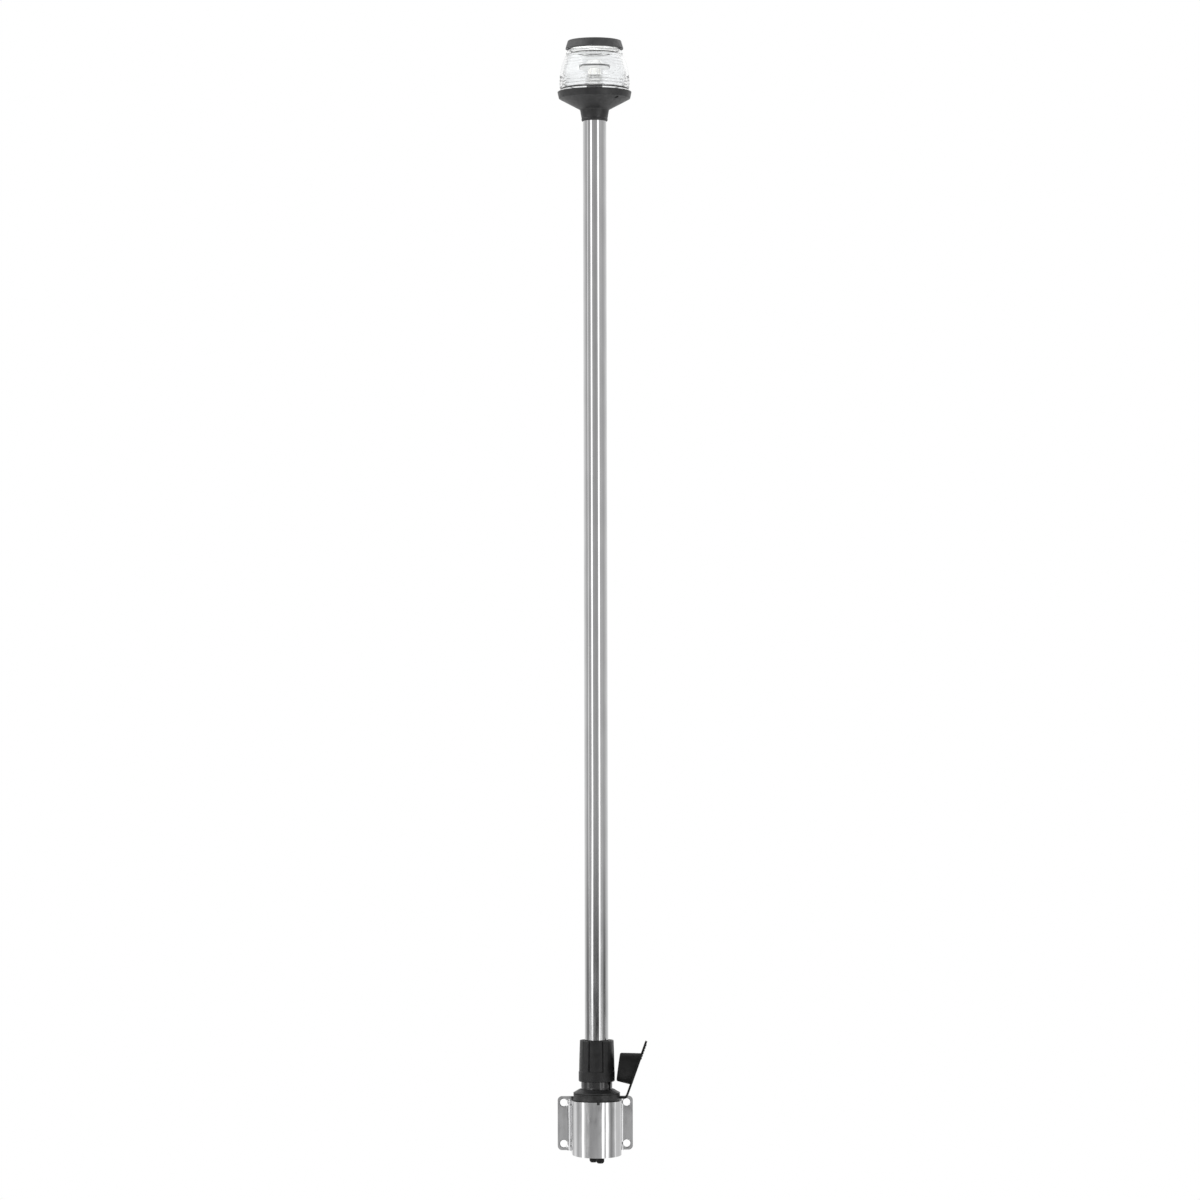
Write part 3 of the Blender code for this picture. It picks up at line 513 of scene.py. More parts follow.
def build_socket(mats):
    nylon = mats["nylon"]
    low, high = span("socket_body")
    rim = reach("socket_body")
    body = lathe("socket_flange", [
        (0, low.z), (BARREL_RADIUS, low.z, 0.8), (BARREL_RADIUS, 27.0), (rim, 27.0, 0.25),
        (rim, 27.7, 0.3), (17.6, 28.95), (14.9, high.z, 0.5), (BORE_RADIUS, high.z, 0.3),
        (BORE_RADIUS, 22.0), (LUG_RADIUS, 22.0), (LUG_RADIUS, 14.2), (BORE_RADIUS, 14.2),
        (BORE_RADIUS, SOCKET_FLOOR), (0, SOCKET_FLOOR)], nylon)
    lug_slots = rectangle(LUG_RADIUS, 2.8, (AXIS.x, AXIS.y))
    keyway = key_outline(BORE_RADIUS - 2, LUG_RADIUS, 1.8)
    tools = [prism("slot_tool", lug_slots, 21.0, high.z + 1, flat, nylon),
             prism("keyway_tool", keyway, SOCKET_FLOOR + 0.1, high.z + 1, flat, nylon)]
    for number in (1, 2):
        contact = f"socket_contact_{number}"
        hole = rod(reach(contact) + GAP, low.z - 1, SOCKET_FLOOR + 1)
        tools.append(tool(hole, 32, middle(contact)))
    carve(body, tools)
    fit(body, "bracket", ["socket_body"])


def build_strap_band(mats):
    """Rubber band round the socket, with a pip in front that sits in the bracket's notch."""
    low, high = span("cap_strap_ring")
    inner = BARREL_RADIUS + GAP
    outer = reach_back("cap_strap_ring")
    band_low = low.z + 2.0
    bm = bmesh.new()
    add_lathe(bm, [
        (inner, band_low, 0.3), (outer, band_low, 0.7), (outer - 0.25, (band_low + high.z) / 2),
        (outer, high.z, 0.6), (inner, high.z, 0.3)], 96, (AXIS.x, AXIS.y))
    front = AXIS.y - outer
    pip = rounded([(-0.8, front + 0.2, 0.3), (0.8, front + 0.2, 0.3), (0.8, front + 1.9),
                   (-0.8, front + 1.9)], 3)
    add_prism(bm, pip, low.z, band_low + 0.8, flat)
    band = make("strap_band", bm, mats["worn_rubber"])
    fit(band, "bracket", ["cap_strap_ring"])


def build_boots(mats):
    """Rubber boots on the two terminals below the socket."""
    for number in (1, 2):
        node = f"terminal_boot_{number}"
        low, high = span(node)
        radius = reach(node)
        groove = radius - 0.35
        boot = lathe(f"boot_{number}", [
            (1.9, high.z), (radius, high.z, 0.4), (radius, low.z + 5.4, 0.2),
            (groove, low.z + 5.0, 0.2), (groove, low.z + 4.4, 0.2), (radius, low.z + 4.0, 0.2),
            (radius - 0.1, low.z + 1.2, 0.9), (radius - 1.3, low.z, 0.5), (1.9, low.z, 0.3)],
            mats["rubber"], 48, middle(node))
        fit(boot, "bracket", [node])


# ---------------------------------------- dust cap

UP = Vector((0, 0, 1))
STRAP_TURN = math.radians(-5.5)              # the way the strap leaves the band, seen from above
CAP_LEAN = 19.7                              # degrees that the cap leans from upright
lean = math.radians(CAP_LEAN)
CAP_AHEAD = Vector((math.cos(STRAP_TURN), math.sin(STRAP_TURN), 0))
CAP_ACROSS = Vector((-math.sin(STRAP_TURN), math.cos(STRAP_TURN), 0))
CAP_ALONG = CAP_AHEAD * math.sin(lean) + UP * math.cos(lean)
CAP_OUTWARD = CAP_AHEAD * math.cos(lean) - UP * math.sin(lean)
STRAP_ROOT = AXIS + UP * 23.5                # on the pole's axis, level with the strap
CAP_HINGE = STRAP_ROOT + CAP_AHEAD * 25.1

# Strap, disc and tab, measured from the hinge along the cap
STRAP_HALF = 4.0
STRAP_HALF_THICK = 0.9
DISC_CENTRE = 24.8
DISC_RADIUS = 16.0
TAB_HALF = 6.0
TAB_END = 50.4
TAB_CORNER = 3.0


def on_the_cap(u, v, depth):
    return CAP_HINGE + CAP_ALONG * u + CAP_OUTWARD * v + CAP_ACROSS * depth


def half_width_at(s):
    """Half the width of the strap, disc or tab, at a distance s from the hinge."""
    half = STRAP_HALF if s < DISC_CENTRE else TAB_HALF
    inside = DISC_RADIUS ** 2 - (s - DISC_CENTRE) ** 2
    if inside > half ** 2:
        half = math.sqrt(inside)
    past = s - (TAB_END - TAB_CORNER)
    if past > 0:
        half = TAB_HALF - TAB_CORNER + math.sqrt(max(0, TAB_CORNER ** 2 - past ** 2))
    return half


def strap_stations():
    """Stations along the sheet's middle line: (point, outward side, half width)."""
    stations = [(STRAP_ROOT + CAP_AHEAD * (18.6 + 5.2 * k / 7), -UP, STRAP_HALF) for k in range(8)]
    bend = 1.4
    centre = STRAP_ROOT + CAP_AHEAD * 23.8 + UP * bend
    for k in range(1, 9):
        angle = math.radians((90 - CAP_LEAN) * k / 8)
        side = CAP_AHEAD * math.sin(angle) - UP * math.cos(angle)
        stations.append((centre + side * bend, side, STRAP_HALF))

    start = (stations[-1][0] - CAP_HINGE).dot(CAP_ALONG)
    disc_foot = DISC_CENTRE - math.sqrt(DISC_RADIUS ** 2 - STRAP_HALF ** 2)
    crown = DISC_CENTRE + math.sqrt(DISC_RADIUS ** 2 - TAB_HALF ** 2)
    tab_round = TAB_END - TAB_CORNER
    steps = [start + (disc_foot - start) * k / 5 for k in range(1, 6)]
    steps += [DISC_CENTRE - math.cos(math.pi * k / 41) * DISC_RADIUS for k in range(1, 41)]
    steps = [s for s in steps if s < crown]
    steps += [crown + (tab_round - crown) * k / 12 for k in range(1, 13)]
    steps += [tab_round + TAB_CORNER * math.sin(math.radians(15 * k)) for k in range(1, 6)]
    for s in sorted(set(round(value, 4) for value in steps)):
        stations.append((CAP_HINGE + CAP_ALONG * s, CAP_OUTWARD, half_width_at(s)))
    return stations


def build_cap_strap(mats):
    """Rubber strap, disc and pull tab in one sheet that bends at its root."""
    bm = bmesh.new()
    rings = []
    for point, side, half in strap_stations():
        section = rounded([(u, v, 0.35) for u, v in rectangle(half, STRAP_HALF_THICK)], 3)
        rings.append([bm.verts.new((point + CAP_ACROSS * p.x + side * p.y) * MM) for p in section])
    for ring, following in zip(rings, rings[1:]):
        bridge(bm, ring, following)
    bm.faces.new(rings[0])
    bm.faces.new(rings[-1])
    for k in range(6):                       # grip ribs on the outer face of the tab
        rib = arc((35.2 + 2.35 * k, STRAP_HALF_THICK - 0.15), 0.62, 0, 180, 8)
        add_prism(bm, rib, -5.0, 5.0, on_the_cap)
    strap = settle(make("cap_strap", bm, mats["rubber"], 40))
    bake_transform(strap)
    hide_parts("dust_cap")


def build_cap_stopper(mats):
    """Tapered stopper, whose root is cut slantwise by the disc."""
    end = CAP_HINGE - CAP_AHEAD * 6.8 + UP * 25.75
    base = CAP_HINGE + CAP_AHEAD * 6.75 + UP * 23.95
    end_radius = 12.2
    base_radius = 13.65
    inward = (base - end).normalized()
    rise = inward.cross(CAP_ACROSS)
    taper = (base_radius - end_radius) / (base - end).length
    sides = 72
    spots = [circle(1, 360 * k / sides) for k in range(sides)]
    radials = [CAP_ACROSS * spot.x + rise * spot.y for spot in spots]

    bm = bmesh.new()
    rings = [[bm.verts.new((end + inward * 0.7) * MM)] * sides]
    rim = ((9.4, 0.7), (9.9, 0.35), (10.2, 0.0), (10.9, 0.0), (11.5, 0.2), (11.95, 0.6), (12.15, 1.2))
    for radius, depth in rim:
        middle_point = end + inward * depth
        rings.append([bm.verts.new((middle_point + radial * radius) * MM) for radial in radials])
    edge = []
    for radial in radials:
        first = end + inward * 1.3 + radial * end_radius
        step = inward + radial * taper
        run = (CAP_HINGE - first).dot(CAP_OUTWARD) / step.dot(CAP_OUTWARD)
        edge.append((first, step, run, radial))
    for share in (0.35, 0.7, 0.93):
        rings.append([bm.verts.new((first + step * run * share) * MM) for first, step, run, _ in edge])
    for short, flare in ((0.4, 0.12), (0, 0.5)):
        rings.append([bm.verts.new((first + step * (run - short) + radial * flare) * MM)
                      for first, step, run, radial in edge])
    for ring, following in zip(rings, rings[1:]):
        bridge(bm, ring, following)
    bm.faces.new(rings[-1])
    fit(make("cap_stopper", bm, mats["rubber"], 45), "cap", [])


# ---------------------------------------- plug, neck and locking ring

def build_seal(name, node, radius, height, thickness, material, sides=96):
    """A rubber O-ring; the radius is that of its section's middle."""
    section = arc((radius, height), thickness / 2, 0, 330, 11)
    seal = lathe(name, [tuple(p) for p in section], material, sides)
    fit(seal, "pole", [node])


def build_plug(mats):
    low, high = span("plug_body")
    bore = TUBE_RADIUS + GAP
    foot = tube_low.z - GAP
    stem = 11.6
    seal_groove = 11.3
    clip_groove = 10.9
    cable_floor = -8.0
    plug = lathe("plug_core", [
        (0, low.z), (PLUG_RADIUS, low.z, 0.9), (PLUG_RADIUS, 0.5, 0.15), (seal_groove, 0.5),
        (seal_groove, 3.7), (PLUG_RADIUS, 3.7, 0.15), (PLUG_RADIUS, 14.4, 0.5), (stem, 14.4),
        (stem, 61.5), (clip_groove, 61.5), (clip_groove, 62.9), (stem, 62.9), (stem, high.z, 0.35),
        (bore, high.z, 0.25), (bore, foot), (2.3, foot), (2.3, cable_floor), (0, cable_floor)],
        mats["nylon"])
    outline = key_outline(PLUG_RADIUS - 0.8, LUG_RADIUS - GAP, 1.5)
    key = prism("key", outline, low.z + 1, -2.0, flat, mats["nylon"])
    soften(key, 0.25, 2)
    carve(plug, [key], "UNION")
    pin_hole = rod(1.7, low.z - 1, -9.7)
    carve(plug, [tool(pin_hole, 32, middle(f"plug_pin_{number}")) for number in (1, 2)])
    fit(plug, "pole", ["plug_body"])
    build_seal("plug_seal", "plug_o_ring", 12.4, mid_height("plug_o_ring"), 1.5, mats["rubber"])


def build_sleeve(mats):
    """Glossy neck of the locking ring, with the two lugs that lock it in the socket."""
    low, high = span("lock_sleeve")
    inner = 11.9
    outer = 13.2
    groove = 13.05
    bm = bmesh.new()
    add_lathe(bm, [
        (inner, low.z, 0.3), (outer, low.z, 0.5), (outer, 31.6), (groove, 31.9), (groove, 32.3),
        (outer, 32.6), (outer, high.z, 0.3), (inner, high.z, 0.2)], 96, (AXIS.x, AXIS.y))
    for across in (-1, 1):
        root = AXIS.x + across * 12.6
        tip = AXIS.x + across * 13.9
        lug = rounded([(root, AXIS.y - 2.5), (tip, AXIS.y - 2.5, 0.4), (tip, AXIS.y + 2.5, 0.4),
                       (root, AXIS.y + 2.5)], 3)
        add_prism(bm, lug, low.z + 0.6, low.z + 5.0, flat)
    fit(make("neck_sleeve", bm, mats["glossy"]), "lock_ring", ["lock_sleeve"])


def smooth(value, low, high):
    share = min(1, max(0, (value - low) / (high - low)))
    return share * share * (3 - 2 * share)


def flute(angle):
    """(depth below a rib's face, how much the rib is crowned), at an angle round the ring."""
    pitch = 360 / RIBS
    off = abs((angle - FIRST_RIB + pitch / 2) % pitch - pitch / 2)
    panel = 0.5 * smooth(off, HALF_RIB + 2.6, HALF_RIB + 4.6)
    near_side = smooth(off, HALF_RIB - 0.4, HALF_RIB + 1.3)
    far_side = smooth(off, HALF_RIB + 2.6, HALF_RIB + 4.4)
    groove = 1.15 * (near_side - far_side)
    return panel + groove, 0.14 * smooth(off, HALF_RIB - 4, HALF_RIB)


def build_ring(mats):
    """Fluted locking ring: raised ribs, each between two narrow grooves, over a plain band."""
    low, high = span("locking_ring")
    foot_radius = 15.3
    top_radius = 14.5
    band_top = 45.2
    web_low = 46.3
    web_high = 61.2

    def side_radius(height):
        share = (height - band_top) / (high.z - band_top)
        if share <= 0:
            return foot_radius
        return foot_radius - (foot_radius - top_radius) * (0.55 * share + 0.45 * share ** 2)

    def level(height, radius_of):
        turn = [360 * k / 540 for k in range(540)]
        spots = [circle(radius_of(angle), angle) for angle in turn]
        return [bm.verts.new(Vector((AXIS.x + p.x, AXIS.y + p.y, height)) * MM) for p in spots]

    heights = [low.z + rise for rise in (0, 0.08, 0.3, 0.7, 1.2, 2.4, 5)]
    heights += [band_top - 1.2, band_top - 0.4]
    heights += [band_top + 0.15 * k for k in range(9)]
    heights += [band_top + 1.4 + (high.z - 1.1 - band_top - 1.4) * k / 12 for k in range(13)]
    heights += [high.z - drop for drop in (0.75, 0.42, 0.18, 0.04, 0)]
    bm = bmesh.new()
    rings = []
    for radius, height in ((12.4, web_low), (13.5, web_low), (13.5, low.z), (14.1, low.z)):
        rings.append(level(height, lambda angle: radius))
    for height in heights:
        base = side_radius(height)
        from_foot = min(1, height - low.z)
        from_top = min(1, (high.z - height) / 0.8)
        foot_round = 1 - math.sqrt(max(0, 1 - (1 - from_foot) ** 2))
        top_round = 0.8 * (1 - math.sqrt(max(0, 1 - (1 - from_top) ** 2)))
        share = smooth(height, band_top, band_top + 0.9)
        rings.append(level(height, lambda angle: base - share * sum(flute(angle)) - foot_round - top_round))
    for radius, height in ((12.9, high.z), (12.6, high.z - 0.3), (12.6, web_high), (11.9, web_high),
                           (11.9, web_low)):
        rings.append(level(height, lambda angle: radius))
    for ring, following in zip(rings, rings[1:] + rings[:1]):
        bridge(bm, ring, following)
    fit(make("grip_ring", bm, mats["ring_nylon"], 48), "lock_ring", ["locking_ring"])


# ---------------------------------------- pole and head

def build_pole(mats):
    bore = TUBE_RADIUS - 1.5
    tube = lathe("pole_pipe", [
        (bore, tube_low.z, 0.2), (TUBE_RADIUS, tube_low.z, 0.3),
        (TUBE_RADIUS, tube_high.z, 0.3), (bore, tube_high.z, 0.2)], mats["pole_steel"], 128)
    fit(tube, "pole", ["pole_tube"])


def build_pan_screw(name, node, head, shank, head_up, mats):
    """Pan head screw with a cross recess; its head is at its top or its low end."""
    low, high = (corner.z for corner in span(node))
    outline = [(0, low), (head, low, 0.25), (head, low + 0.9, 0.2), (shank, low + 1.0),
               (shank, high, 0.3), (0, high)]
    recess = (low - 1, low + 0.5)
    if head_up:
        outline = [(0, low), (shank, low, 0.3), (shank, high - 1.0), (head, high - 0.9, 0.2),
                   (head, high, 0.3), (0, high)]
        recess = (high - 0.5, high + 1)
    at = middle(node)
    made = lathe(name, outline, mats["screw_steel"], 32, at)
    carve(made, cross_recess(head * 0.62, 0.2, *recess, mats["screw_steel"], at))
    fit(made, "pole", [node])


def build_head_base(mats):
    low, high = span("head_base")
    rim = reach("head_base")
    bore = TUBE_RADIUS + GAP
    tube_stop = tube_high.z + GAP
    cable_bore = 3.9
    seat = span("lens_cover")[0].z - GAP
    seat_radius = LENS_FOOT + GAP
    inner_rim = 25.3
    shell = lathe("head_shell", [
        (bore, low.z, 0.2), (10.8, low.z, 0.3), (11.15, low.z + 0.8, 0.4), (11.2, low.z + 1.9, 0.3),
        (11.0, low.z + 2.5, 0.25), (11.2, low.z + 3.1, 0.3), (12.3, 861.6, 0.6), (12.9, 862.3, 0.6),
        (21.0, 866.6), (30.3, 871.6, 0.35), (30.6, 872.6, 0.3), (rim, 877.0, 0.5),
        (rim - 0.35, high.z, 0.25), (seat_radius, high.z, 0.25), (seat_radius, seat),
        (inner_rim, seat), (inner_rim, 876.5), (cable_bore, 876.5), (cable_bore, tube_stop),
        (bore, tube_stop)], mats["nylon"], 144)
    screw_well = [(0, 866.0), (1.7, 866.0), (1.7, 870.6), (1.5, 871.2), (1.5, 874.4), (1.05, 874.4),
                  (1.05, 877.0), (0, 877.0)]
    tools = []
    for number in (1, 2):
        node = f"lens_screw_{number}"
        tools.append(tool(screw_well, 32, middle(node)))
        build_pan_screw(f"lens_fixing_{number}", node, 1.15, 0.75, False, mats)
    grub_hole = tool(rod(1.8, 9.5, 13.5), 32, (0, 0))
    place = Matrix.Translation(Vector((AXIS.x, AXIS.y, 858.5)) * MM)
    grub_hole.data.transform(place @ Matrix.Rotation(math.radians(-90), 4, "X"))
    tools.append(grub_hole)
    carve(shell, tools)
    fit(shell, "pole", ["head_base"])


def build_top_cap(mats):
    low, high = span("top_cap")
    rim = reach("top_cap")
    lid = lathe("head_cap", [
        (0, low.z + 0.9), (22.9, low.z + 0.9, 0.3), (23.3, low.z, 0.3), (rim, low.z, 0.25),
        (rim, low.z + 0.6, 0.4), (22.75, high.z - 0.45, 0.25), (22.3, high.z - 0.15, 0.3),
        (12.0, high.z), (0, high.z)], mats["cap_nylon"], 144)
    fit(lid, "pole", ["top_cap"])


def lens_side(height, offset=0.0):
    """Radius of the lens's bowed side at a height, or of a face that lies further in."""
    drop = LENS_WIDEST - LENS_TOP
    rise = LENS_TOP_HEIGHT - LENS_WIDEST_HEIGHT
    bow = (rise ** 2 + drop ** 2) / (2 * drop)
    return LENS_WIDEST - bow + math.sqrt(bow ** 2 - (height - LENS_WIDEST_HEIGHT) ** 2) - offset


def build_lens_cover(mats):
    low, high = span("lens_cover")
    inner_foot = 25.6
    outline = [(inner_foot, low.z, 0.2), (LENS_FOOT, low.z, 0.2), (LENS_FOOT, LENS_LEDGE + 0.4, 0.2),
               (29.5, LENS_LEDGE + 1.2, 0.2)]
    face = LENS_WIDEST - 0.02
    for k in range(3):                       # three prism ribs above the foot
        rib = 881.2 + 2.6 * k
        outline += [(face, rib, 0.15), (face, rib + 1.3, 0.3), (LENS_WIDEST - 0.45, rib + 1.9, 0.2)]
    for k in range(9):
        height = 889.6 + (906.6 - 889.6) * k / 8
        outline.append((lens_side(height), height))
    outline += [(lens_side(907.6) - 0.35, 907.6, 0.2), (LENS_TOP + 0.05, 908.6, 0.3),
                (LENS_TOP, 910.4, 0.5), (22.8, high.z, 0.3), (19.8, high.z, 0.2), (19.8, 911.4, 0.2),
                (LENS_TOP - LENS_WALL, 911.4, 0.3)]
    for k in range(9):
        height = LENS_TOP_HEIGHT + (LENS_WIDEST_HEIGHT - LENS_TOP_HEIGHT) * k / 8
        outline.append((lens_side(height, LENS_WALL), height))
    outline += [(LENS_WIDEST - LENS_WALL, LENS_LEDGE + 0.2, 0.3), (inner_foot, LENS_LEDGE, 0.2)]
    cover = lathe("lens_shell", outline, mats["clear_cover"], 144, steps=3)
    cover.visible_shadow = False             # clear plastic casts next to no shadow
    fit(cover, "pole", ["lens_cover"])


def build_insert(mats):
    """Fresnel insert: prism rings outside, stepped away from the middle one on both sides."""
    low, high = span("fresnel_insert")
    clear = LENS_WALL + 0.5
    rings = 11
    run = (high.z - low.z) / rings
    step = 0.12
    outline = []
    for k in range(rings):
        foot = low.z + run * k
        head = foot + run
        if k < rings // 2:
            outline += [(lens_side(foot, clear) - step, foot, 0.08),
                        (lens_side(head, clear), foot + run * 0.96, 0.08)]
        elif k > rings // 2:
            outline += [(lens_side(foot, clear), foot + run * 0.04, 0.08),
                        (lens_side(head, clear) - step, head, 0.08)]
        else:
            waist = foot + run / 2
            outline += [(lens_side(foot, clear) - step / 2, foot, 0.08),
                        (lens_side(waist, clear), waist, 0.6),
                        (lens_side(head, clear) - step / 2, head, 0.08)]
    for k in range(9):
        height = high.z + (low.z - high.z) * k / 8
        outline.append((lens_side(height, clear + 1.6), height))
    insert = lathe("prism_insert", outline, mats["clear_insert"], 128, steps=2)
    insert.visible_shadow = False
    fit(insert, "pole", ["fresnel_insert"])


def build_lens_seals(mats):
    hang = mid_height("lens_seal_upper")
    for name, node, height, thickness in (("seal_lower", "lens_seal_lower", LENS_LEDGE + 0.6, 1.2),
                                          ("seal_upper", "lens_seal_upper", hang, 0.95)):
        build_seal(name, node, reach(node) - 0.5, height, thickness, mats["rubber"], 128)


# ---------------------------------------- inside the head

def build_reflector(mats):
    low, high = span("reflector_plate")
    screw_hole = 1.6
    rim = 19.3
    plate = lathe("reflector_disc", [
        (screw_hole, low.z - 1.2, 0.2), (6.2, low.z - 1.2, 0.4), (6.6, low.z, 0.3),
        (17.6, low.z + 0.1), (18.6, low.z, 0.3), (rim, low.z + 0.2, 0.2), (rim, high.z, 0.2),
        (screw_hole, high.z, 0.2)], mats["matt_white"], 96)
    fit(plate, "pole", ["reflector_plate"])


def build_engine_foot(mats):
    low, high = span("led_post")
    cable_bore = 2.3
    post = lathe("engine_foot", [
        (cable_bore, low.z), (7.4, low.z, 0.5), (7.3, 879.2, 0.6), (6.9, 881.4, 0.5),
        (6.2, 883.2, 0.4), (4.6, high.z, 0.3), (cable_bore, high.z, 0.1)], mats["nylon"], 64)
    well = [(0, 876.0), (1.1, 876.0), (1.1, 878.0), (1.7, 878.0), (1.7, 884.0), (0, 884.0)]
    wells = []
    for number in (1, 2):
        node = f"post_screw_{number}"
        wells.append(tool(well, 32, middle(node)))
        build_pan_screw(f"post_fixing_{number}", node, 1.4, 0.8, True, mats)
    carve(post, wells)
    fit(post, "pole", ["led_post"])


def build_boards(mats):
    """Circuit boards: white solder mask above and below, dark laminate round the edge."""
    for node, name, inner in (("led_board_lower", "board_lower", 5.0),
                              ("led_board_upper", "board_upper", 2.3)):
        low, high = span(node)
        radius = reach(node)
        mask = radius - 0.32
        edge = radius - 0.3
        plate = lathe(name, [(inner, low.z), (mask, low.z), (mask, high.z), (inner, high.z)],
                      mats["white"], 96)
        fit(plate, "pole", [node])
        rim = lathe(f"{name}_edge", [(edge, low.z), (radius, low.z, 0.12), (radius, high.z, 0.12),
                                     (edge, high.z)], mats["board"], 96)
        fit(rim, "pole", [node])


def build_driver(mats):
    low, high = span("led_driver")
    radius = reach("led_driver")
    case = lathe("driver_case", [
        (0, low.z), (radius, low.z, 0.2), (radius, high.z - 1.0, 0.4), (radius - 0.9, high.z, 0.4),
        (0, high.z)], mats["driver"], 64)
    fit(case, "pole", ["led_driver"])


def keep_cad_nodes(mats):
    """CAD pieces whose shape is right as it is take the finished materials."""
    finishes = {
        "screw_steel": ("ring_clip", "plug_grub_screw", "collar_grub_screw", "reflector_screw"),
        "brass": ("socket_contact_1", "socket_contact_2", "plug_pin_1", "plug_pin_2"),
        "rubber": ("cable_grommet",),
        "jacket": ("inner_cable",),
        "white": ("led_carrier",),
        "phosphor": tuple(f"led_{number}" for number in range(1, 7)),
    }
    for finish, names in finishes.items():
        for name in names:
            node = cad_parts[name]
            node.data.materials.clear()
            node.data.materials.append(mats[finish])


# ---------------------------------------- studio

# Camera and studio: angles in degrees, lengths in metres. The camera looks at a point on the
# pole at MIDDLE_HEIGHT, moved AIM_RIGHT; FRAME_WIDTH is what the picture spans at the pole.
CAMERA_AZIMUTH = -3.6
CAMERA_DISTANCE = 3.9
CAMERA_HEIGHT = 0.361
MIDDLE_HEIGHT = 0.4448
FRAME_WIDTH = 1.0186
AIM_RIGHT = 0.0037
CAMERA_ROLL = -0.13


def make_camera():
    data = bpy.data.cameras.new("camera")
    camera = bpy.data.objects.new("camera", data)
    bpy.context.scene.collection.objects.link(camera)
    angle = math.radians(CAMERA_AZIMUTH)
    back = Vector((math.sin(angle), -math.cos(angle), 0))
    right = Vector((math.cos(angle), math.sin(angle), 0))
    pole = AXIS * MM
    camera.location = pole + back * CAMERA_DISTANCE + Vector((0, 0, CAMERA_HEIGHT))
    aim = pole + right * AIM_RIGHT + Vector((0, 0, MIDDLE_HEIGHT))
    look = (aim - camera.location).to_track_quat("-Z", "Y")
    roll = Matrix.Rotation(math.radians(CAMERA_ROLL), 4, "Z")
    camera.matrix_world = Matrix.Translation(camera.location) @ look.to_matrix().to_4x4() @ roll
    data.sensor_width = 36.0
    data.lens = data.sensor_width * CAMERA_DISTANCE / FRAME_WIDTH
    data.clip_end = 50
    bpy.context.scene.camera = camera


# Radiance round the studio at four heights: (turn from the camera in degrees, radiance).
# Negative turns are to the camera's left; the peaks are strip lights, the dips are dark stands.
UPPER_ROOM = (
    (-180, 1.0), (-140, 0.95), (-118, 0.78), (-92, 0.50), (-84, 0.46), (-80, 1.1), (-75, 1.1),
    (-70, 0.5), (-55, 0.5), (-44, 0.52), (-40, 2.2), (-31, 2.2), (-27, 0.5), (-14, 0.5), (-3, 0.46),
    (6, 0.42), (16, 0.5), (25, 0.52), (29, 2.1), (38, 2.1), (43, 0.62), (56, 0.6), (68, 0.58),
    (84, 0.52), (100, 0.62), (122, 0.8), (145, 0.95), (180, 1.0))
LOWER_ROOM = (
    (-180, 1.0), (-140, 0.9), (-124, 0.6), (-110, 0.34), (-98, 0.14), (-88, 0.11), (-80, 0.3),
    (-66, 0.42), (-54, 0.4), (-49, 2.2), (-37, 2.2), (-34, 0.08), (-24, 0.04), (-8, 0.05),
    (8, 0.05), (20, 0.06), (24, 0.3), (27, 1.5), (37, 1.4), (43, 0.52), (58, 0.5), (70, 0.26),
    (80, 0.09), (94, 0.10), (106, 0.55), (126, 0.7), (145, 0.9), (180, 1.0))
FLOOR_ROOM = (
    (-180, 0.9), (-152, 0.85), (-137, 0.6), (-127, 1.1), (-112, 0.9), (-100, 0.5), (-86, 0.68),
    (-76, 0.75), (-71, 2.2), (-66, 2.2), (-60, 1.0), (-50, 0.5), (-30, 0.42), (-12, 0.47),
    (8, 0.54), (22, 0.62), (27, 2.2), (32, 2.0), (37, 0.55), (43, 0.8), (47, 2.3), (52, 2.3),
    (58, 0.85), (70, 0.3), (82, 0.5), (92, 0.7), (96, 1.4), (101, 0.8), (125, 0.74), (155, 0.8),
    (180, 0.9))
HIGH_ROOM = (
    (-180, 0.9), (-120, 0.8), (-105, 2.4), (-50, 2.4), (-38, 0.6), (-10, 0.35), (20, 0.4),
    (30, 1.2), (60, 1.2), (75, 0.5), (100, 1.2), (130, 1.8), (160, 1.2), (180, 0.9))
OVERHEAD = 0.3
BRIGHTEST = 2.5

FILLS = ((-38, 24), (62, 12))               # turn from the camera in degrees, watts
FILL_DISTANCE = 2.0
FILL_HEIGHT = -0.2
FILL_AIM = 0.88
FILL_SIZE = 1.2

FLOOR_RADIUS = 1.4
FLOOR_HEIGHT = -0.6


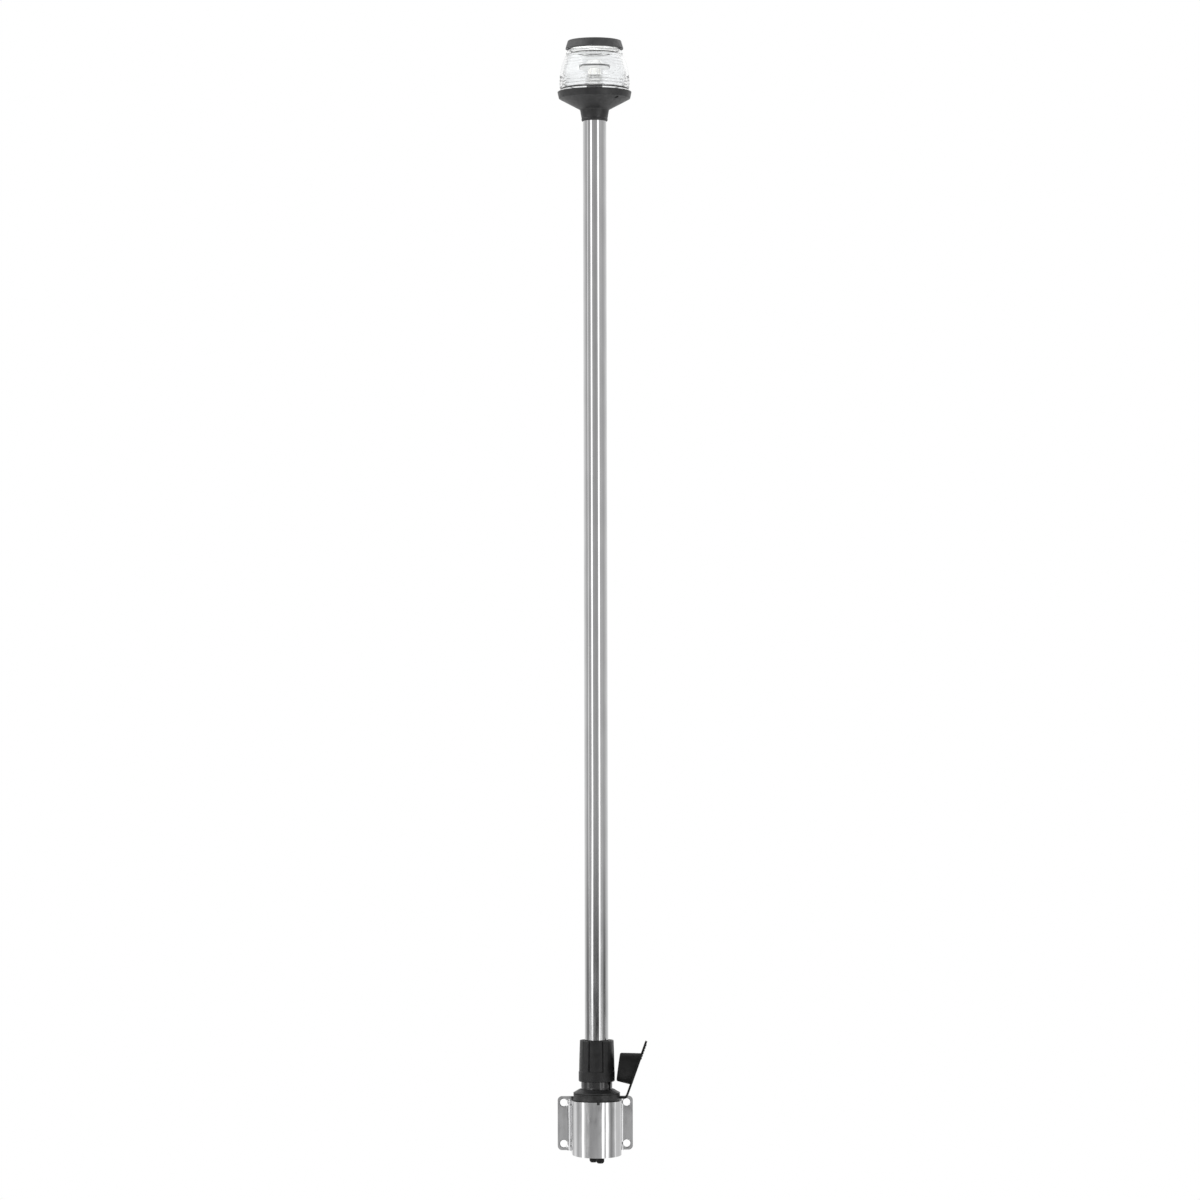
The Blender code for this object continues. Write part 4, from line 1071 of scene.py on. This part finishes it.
def make_world():
    world = bpy.data.worlds.new("studio")
    bpy.context.scene.world = world
    world.use_nodes = True
    nodes = world.node_tree.nodes
    links = world.node_tree.links
    nodes.clear()
    direction = nodes.new("ShaderNodeTexCoord")
    parts = nodes.new("ShaderNodeSeparateXYZ")
    links.new(direction.outputs["Generated"], parts.inputs["Vector"])

    def math_node(operation, first, second):
        node = nodes.new("ShaderNodeMath")
        node.operation = operation
        for socket, value in zip(node.inputs, (first, second)):
            if isinstance(value, (int, float)):
                socket.default_value = value
            else:
                links.new(value, socket)
        return node.outputs["Value"]

    forward = math_node("MULTIPLY", parts.outputs["Y"], -1.0)
    turn = math_node("ARCTAN2", parts.outputs["X"], forward)
    from_camera = math_node("SUBTRACT", turn, math.radians(CAMERA_AZIMUTH))
    half_turn_on = math_node("ADD", math_node("DIVIDE", from_camera, math.tau), 0.5)
    shares = math_node("FRACT", half_turn_on, 0)

    def room(stops):
        ramp = nodes.new("ShaderNodeValToRGB")
        elements = ramp.color_ramp.elements
        while len(elements) > 1:
            elements.remove(elements[0])
        for number, (angle, radiance) in enumerate(stops):
            place = (angle + 180) / 360
            element = elements[0] if number == 0 else elements.new(place)
            element.position = place
            level = radiance / BRIGHTEST
            element.color = (level, level, level, 1.0)
        links.new(shares, ramp.inputs["Fac"])
        return ramp.outputs["Color"]

    def blend(low_room, high_room, start, end):
        """Pass from one room to the next as the direction rises from start to end."""
        rise = nodes.new("ShaderNodeMapRange")
        rise.inputs["From Min"].default_value = start
        rise.inputs["From Max"].default_value = end
        links.new(parts.outputs["Z"], rise.inputs["Value"])
        mix = nodes.new("ShaderNodeMix")
        mix.data_type = "RGBA"
        links.new(rise.outputs["Result"], mix.inputs["Factor"])
        for socket, value in ((mix.inputs[6], low_room), (mix.inputs[7], high_room)):
            if isinstance(value, tuple):
                socket.default_value = value
            else:
                links.new(value, socket)
        return mix.outputs[2]

    overhead = OVERHEAD / BRIGHTEST
    room_light = blend(room(FLOOR_ROOM), room(LOWER_ROOM), -0.0800, -0.0760)
    room_light = blend(room_light, room(UPPER_ROOM), -0.064, -0.028)
    room_light = blend(room_light, room(HIGH_ROOM), 0.16, 0.30)
    room_light = blend(room_light, (overhead, overhead, overhead, 1.0), 0.70, 0.90)

    lit = nodes.new("ShaderNodeBackground")
    lit.inputs["Strength"].default_value = BRIGHTEST
    links.new(room_light, lit.inputs["Color"])
    plain = nodes.new("ShaderNodeBackground")
    plain.inputs["Color"].default_value = (1.0, 1.0, 1.0, 1.0)
    rays = nodes.new("ShaderNodeLightPath")
    choose = nodes.new("ShaderNodeMixShader")
    # the backdrop is plain white, also through the lens; the rooms only light and reflect
    seen = math_node("MAXIMUM", rays.outputs["Is Camera Ray"], rays.outputs["Is Transmission Ray"])
    links.new(seen, choose.inputs["Fac"])
    links.new(lit.outputs["Background"], choose.inputs[1])
    links.new(plain.outputs["Background"], choose.inputs[2])
    output = nodes.new("ShaderNodeOutputWorld")
    links.new(choose.outputs["Shader"], output.inputs["Surface"])


def make_fills():
    """Soft low panels at both sides, which cast no shadow and don't show in polished steel."""
    for number, (turn, power) in enumerate(FILLS):
        data = bpy.data.lights.new(f"fill_{number + 1}", "AREA")
        data.energy = power
        data.size = FILL_SIZE
        data.use_shadow = False
        lamp = bpy.data.objects.new(f"fill_{number + 1}", data)
        lamp.visible_glossy = False
        angle = math.radians(CAMERA_AZIMUTH + turn)
        back = Vector((math.sin(angle), -math.cos(angle), 0))
        lamp.location = AXIS * MM + back * FILL_DISTANCE + Vector((0, 0, FILL_HEIGHT))
        aim = AXIS * MM + Vector((0, 0, FILL_AIM))
        lamp.rotation_euler = (aim - lamp.location).to_track_quat("-Z", "Y").to_euler()
        bpy.context.scene.collection.objects.link(lamp)


def make_floor():
    bm = bmesh.new()
    outline = [circle(FLOOR_RADIUS, 2 * k) for k in range(180)]
    bm.faces.new([bm.verts.new((p.x, AXIS.y * MM + p.y, FLOOR_HEIGHT)) for p in outline])
    mesh = bpy.data.meshes.new("floor")
    bm.to_mesh(mesh)
    bm.free()
    pale = surface("pale_floor", (0.86, 0.86, 0.86), 0.8)
    vary_roughness(pale, noise(pale, 30, 3), 0.7, 0.9)
    mesh.materials.append(pale)
    floor = bpy.data.objects.new("floor", mesh)
    bpy.context.scene.collection.objects.link(floor)


def main():
    scene = bpy.context.scene
    scene.view_settings.view_transform = "Standard"
    mats = make_materials()
    make_camera()
    make_world()
    make_fills()
    make_floor()
    keep_cad_nodes(mats)
    build_bracket(mats)
    build_socket_screws(mats)
    build_socket(mats)
    build_strap_band(mats)
    build_cap_strap(mats)
    build_cap_stopper(mats)
    build_boots(mats)
    build_plug(mats)
    build_sleeve(mats)
    build_ring(mats)
    build_pole(mats)
    build_head_base(mats)
    build_top_cap(mats)
    build_lens_cover(mats)
    build_insert(mats)
    build_lens_seals(mats)
    build_reflector(mats)
    build_engine_foot(mats)
    build_boards(mats)
    build_driver(mats)


main()
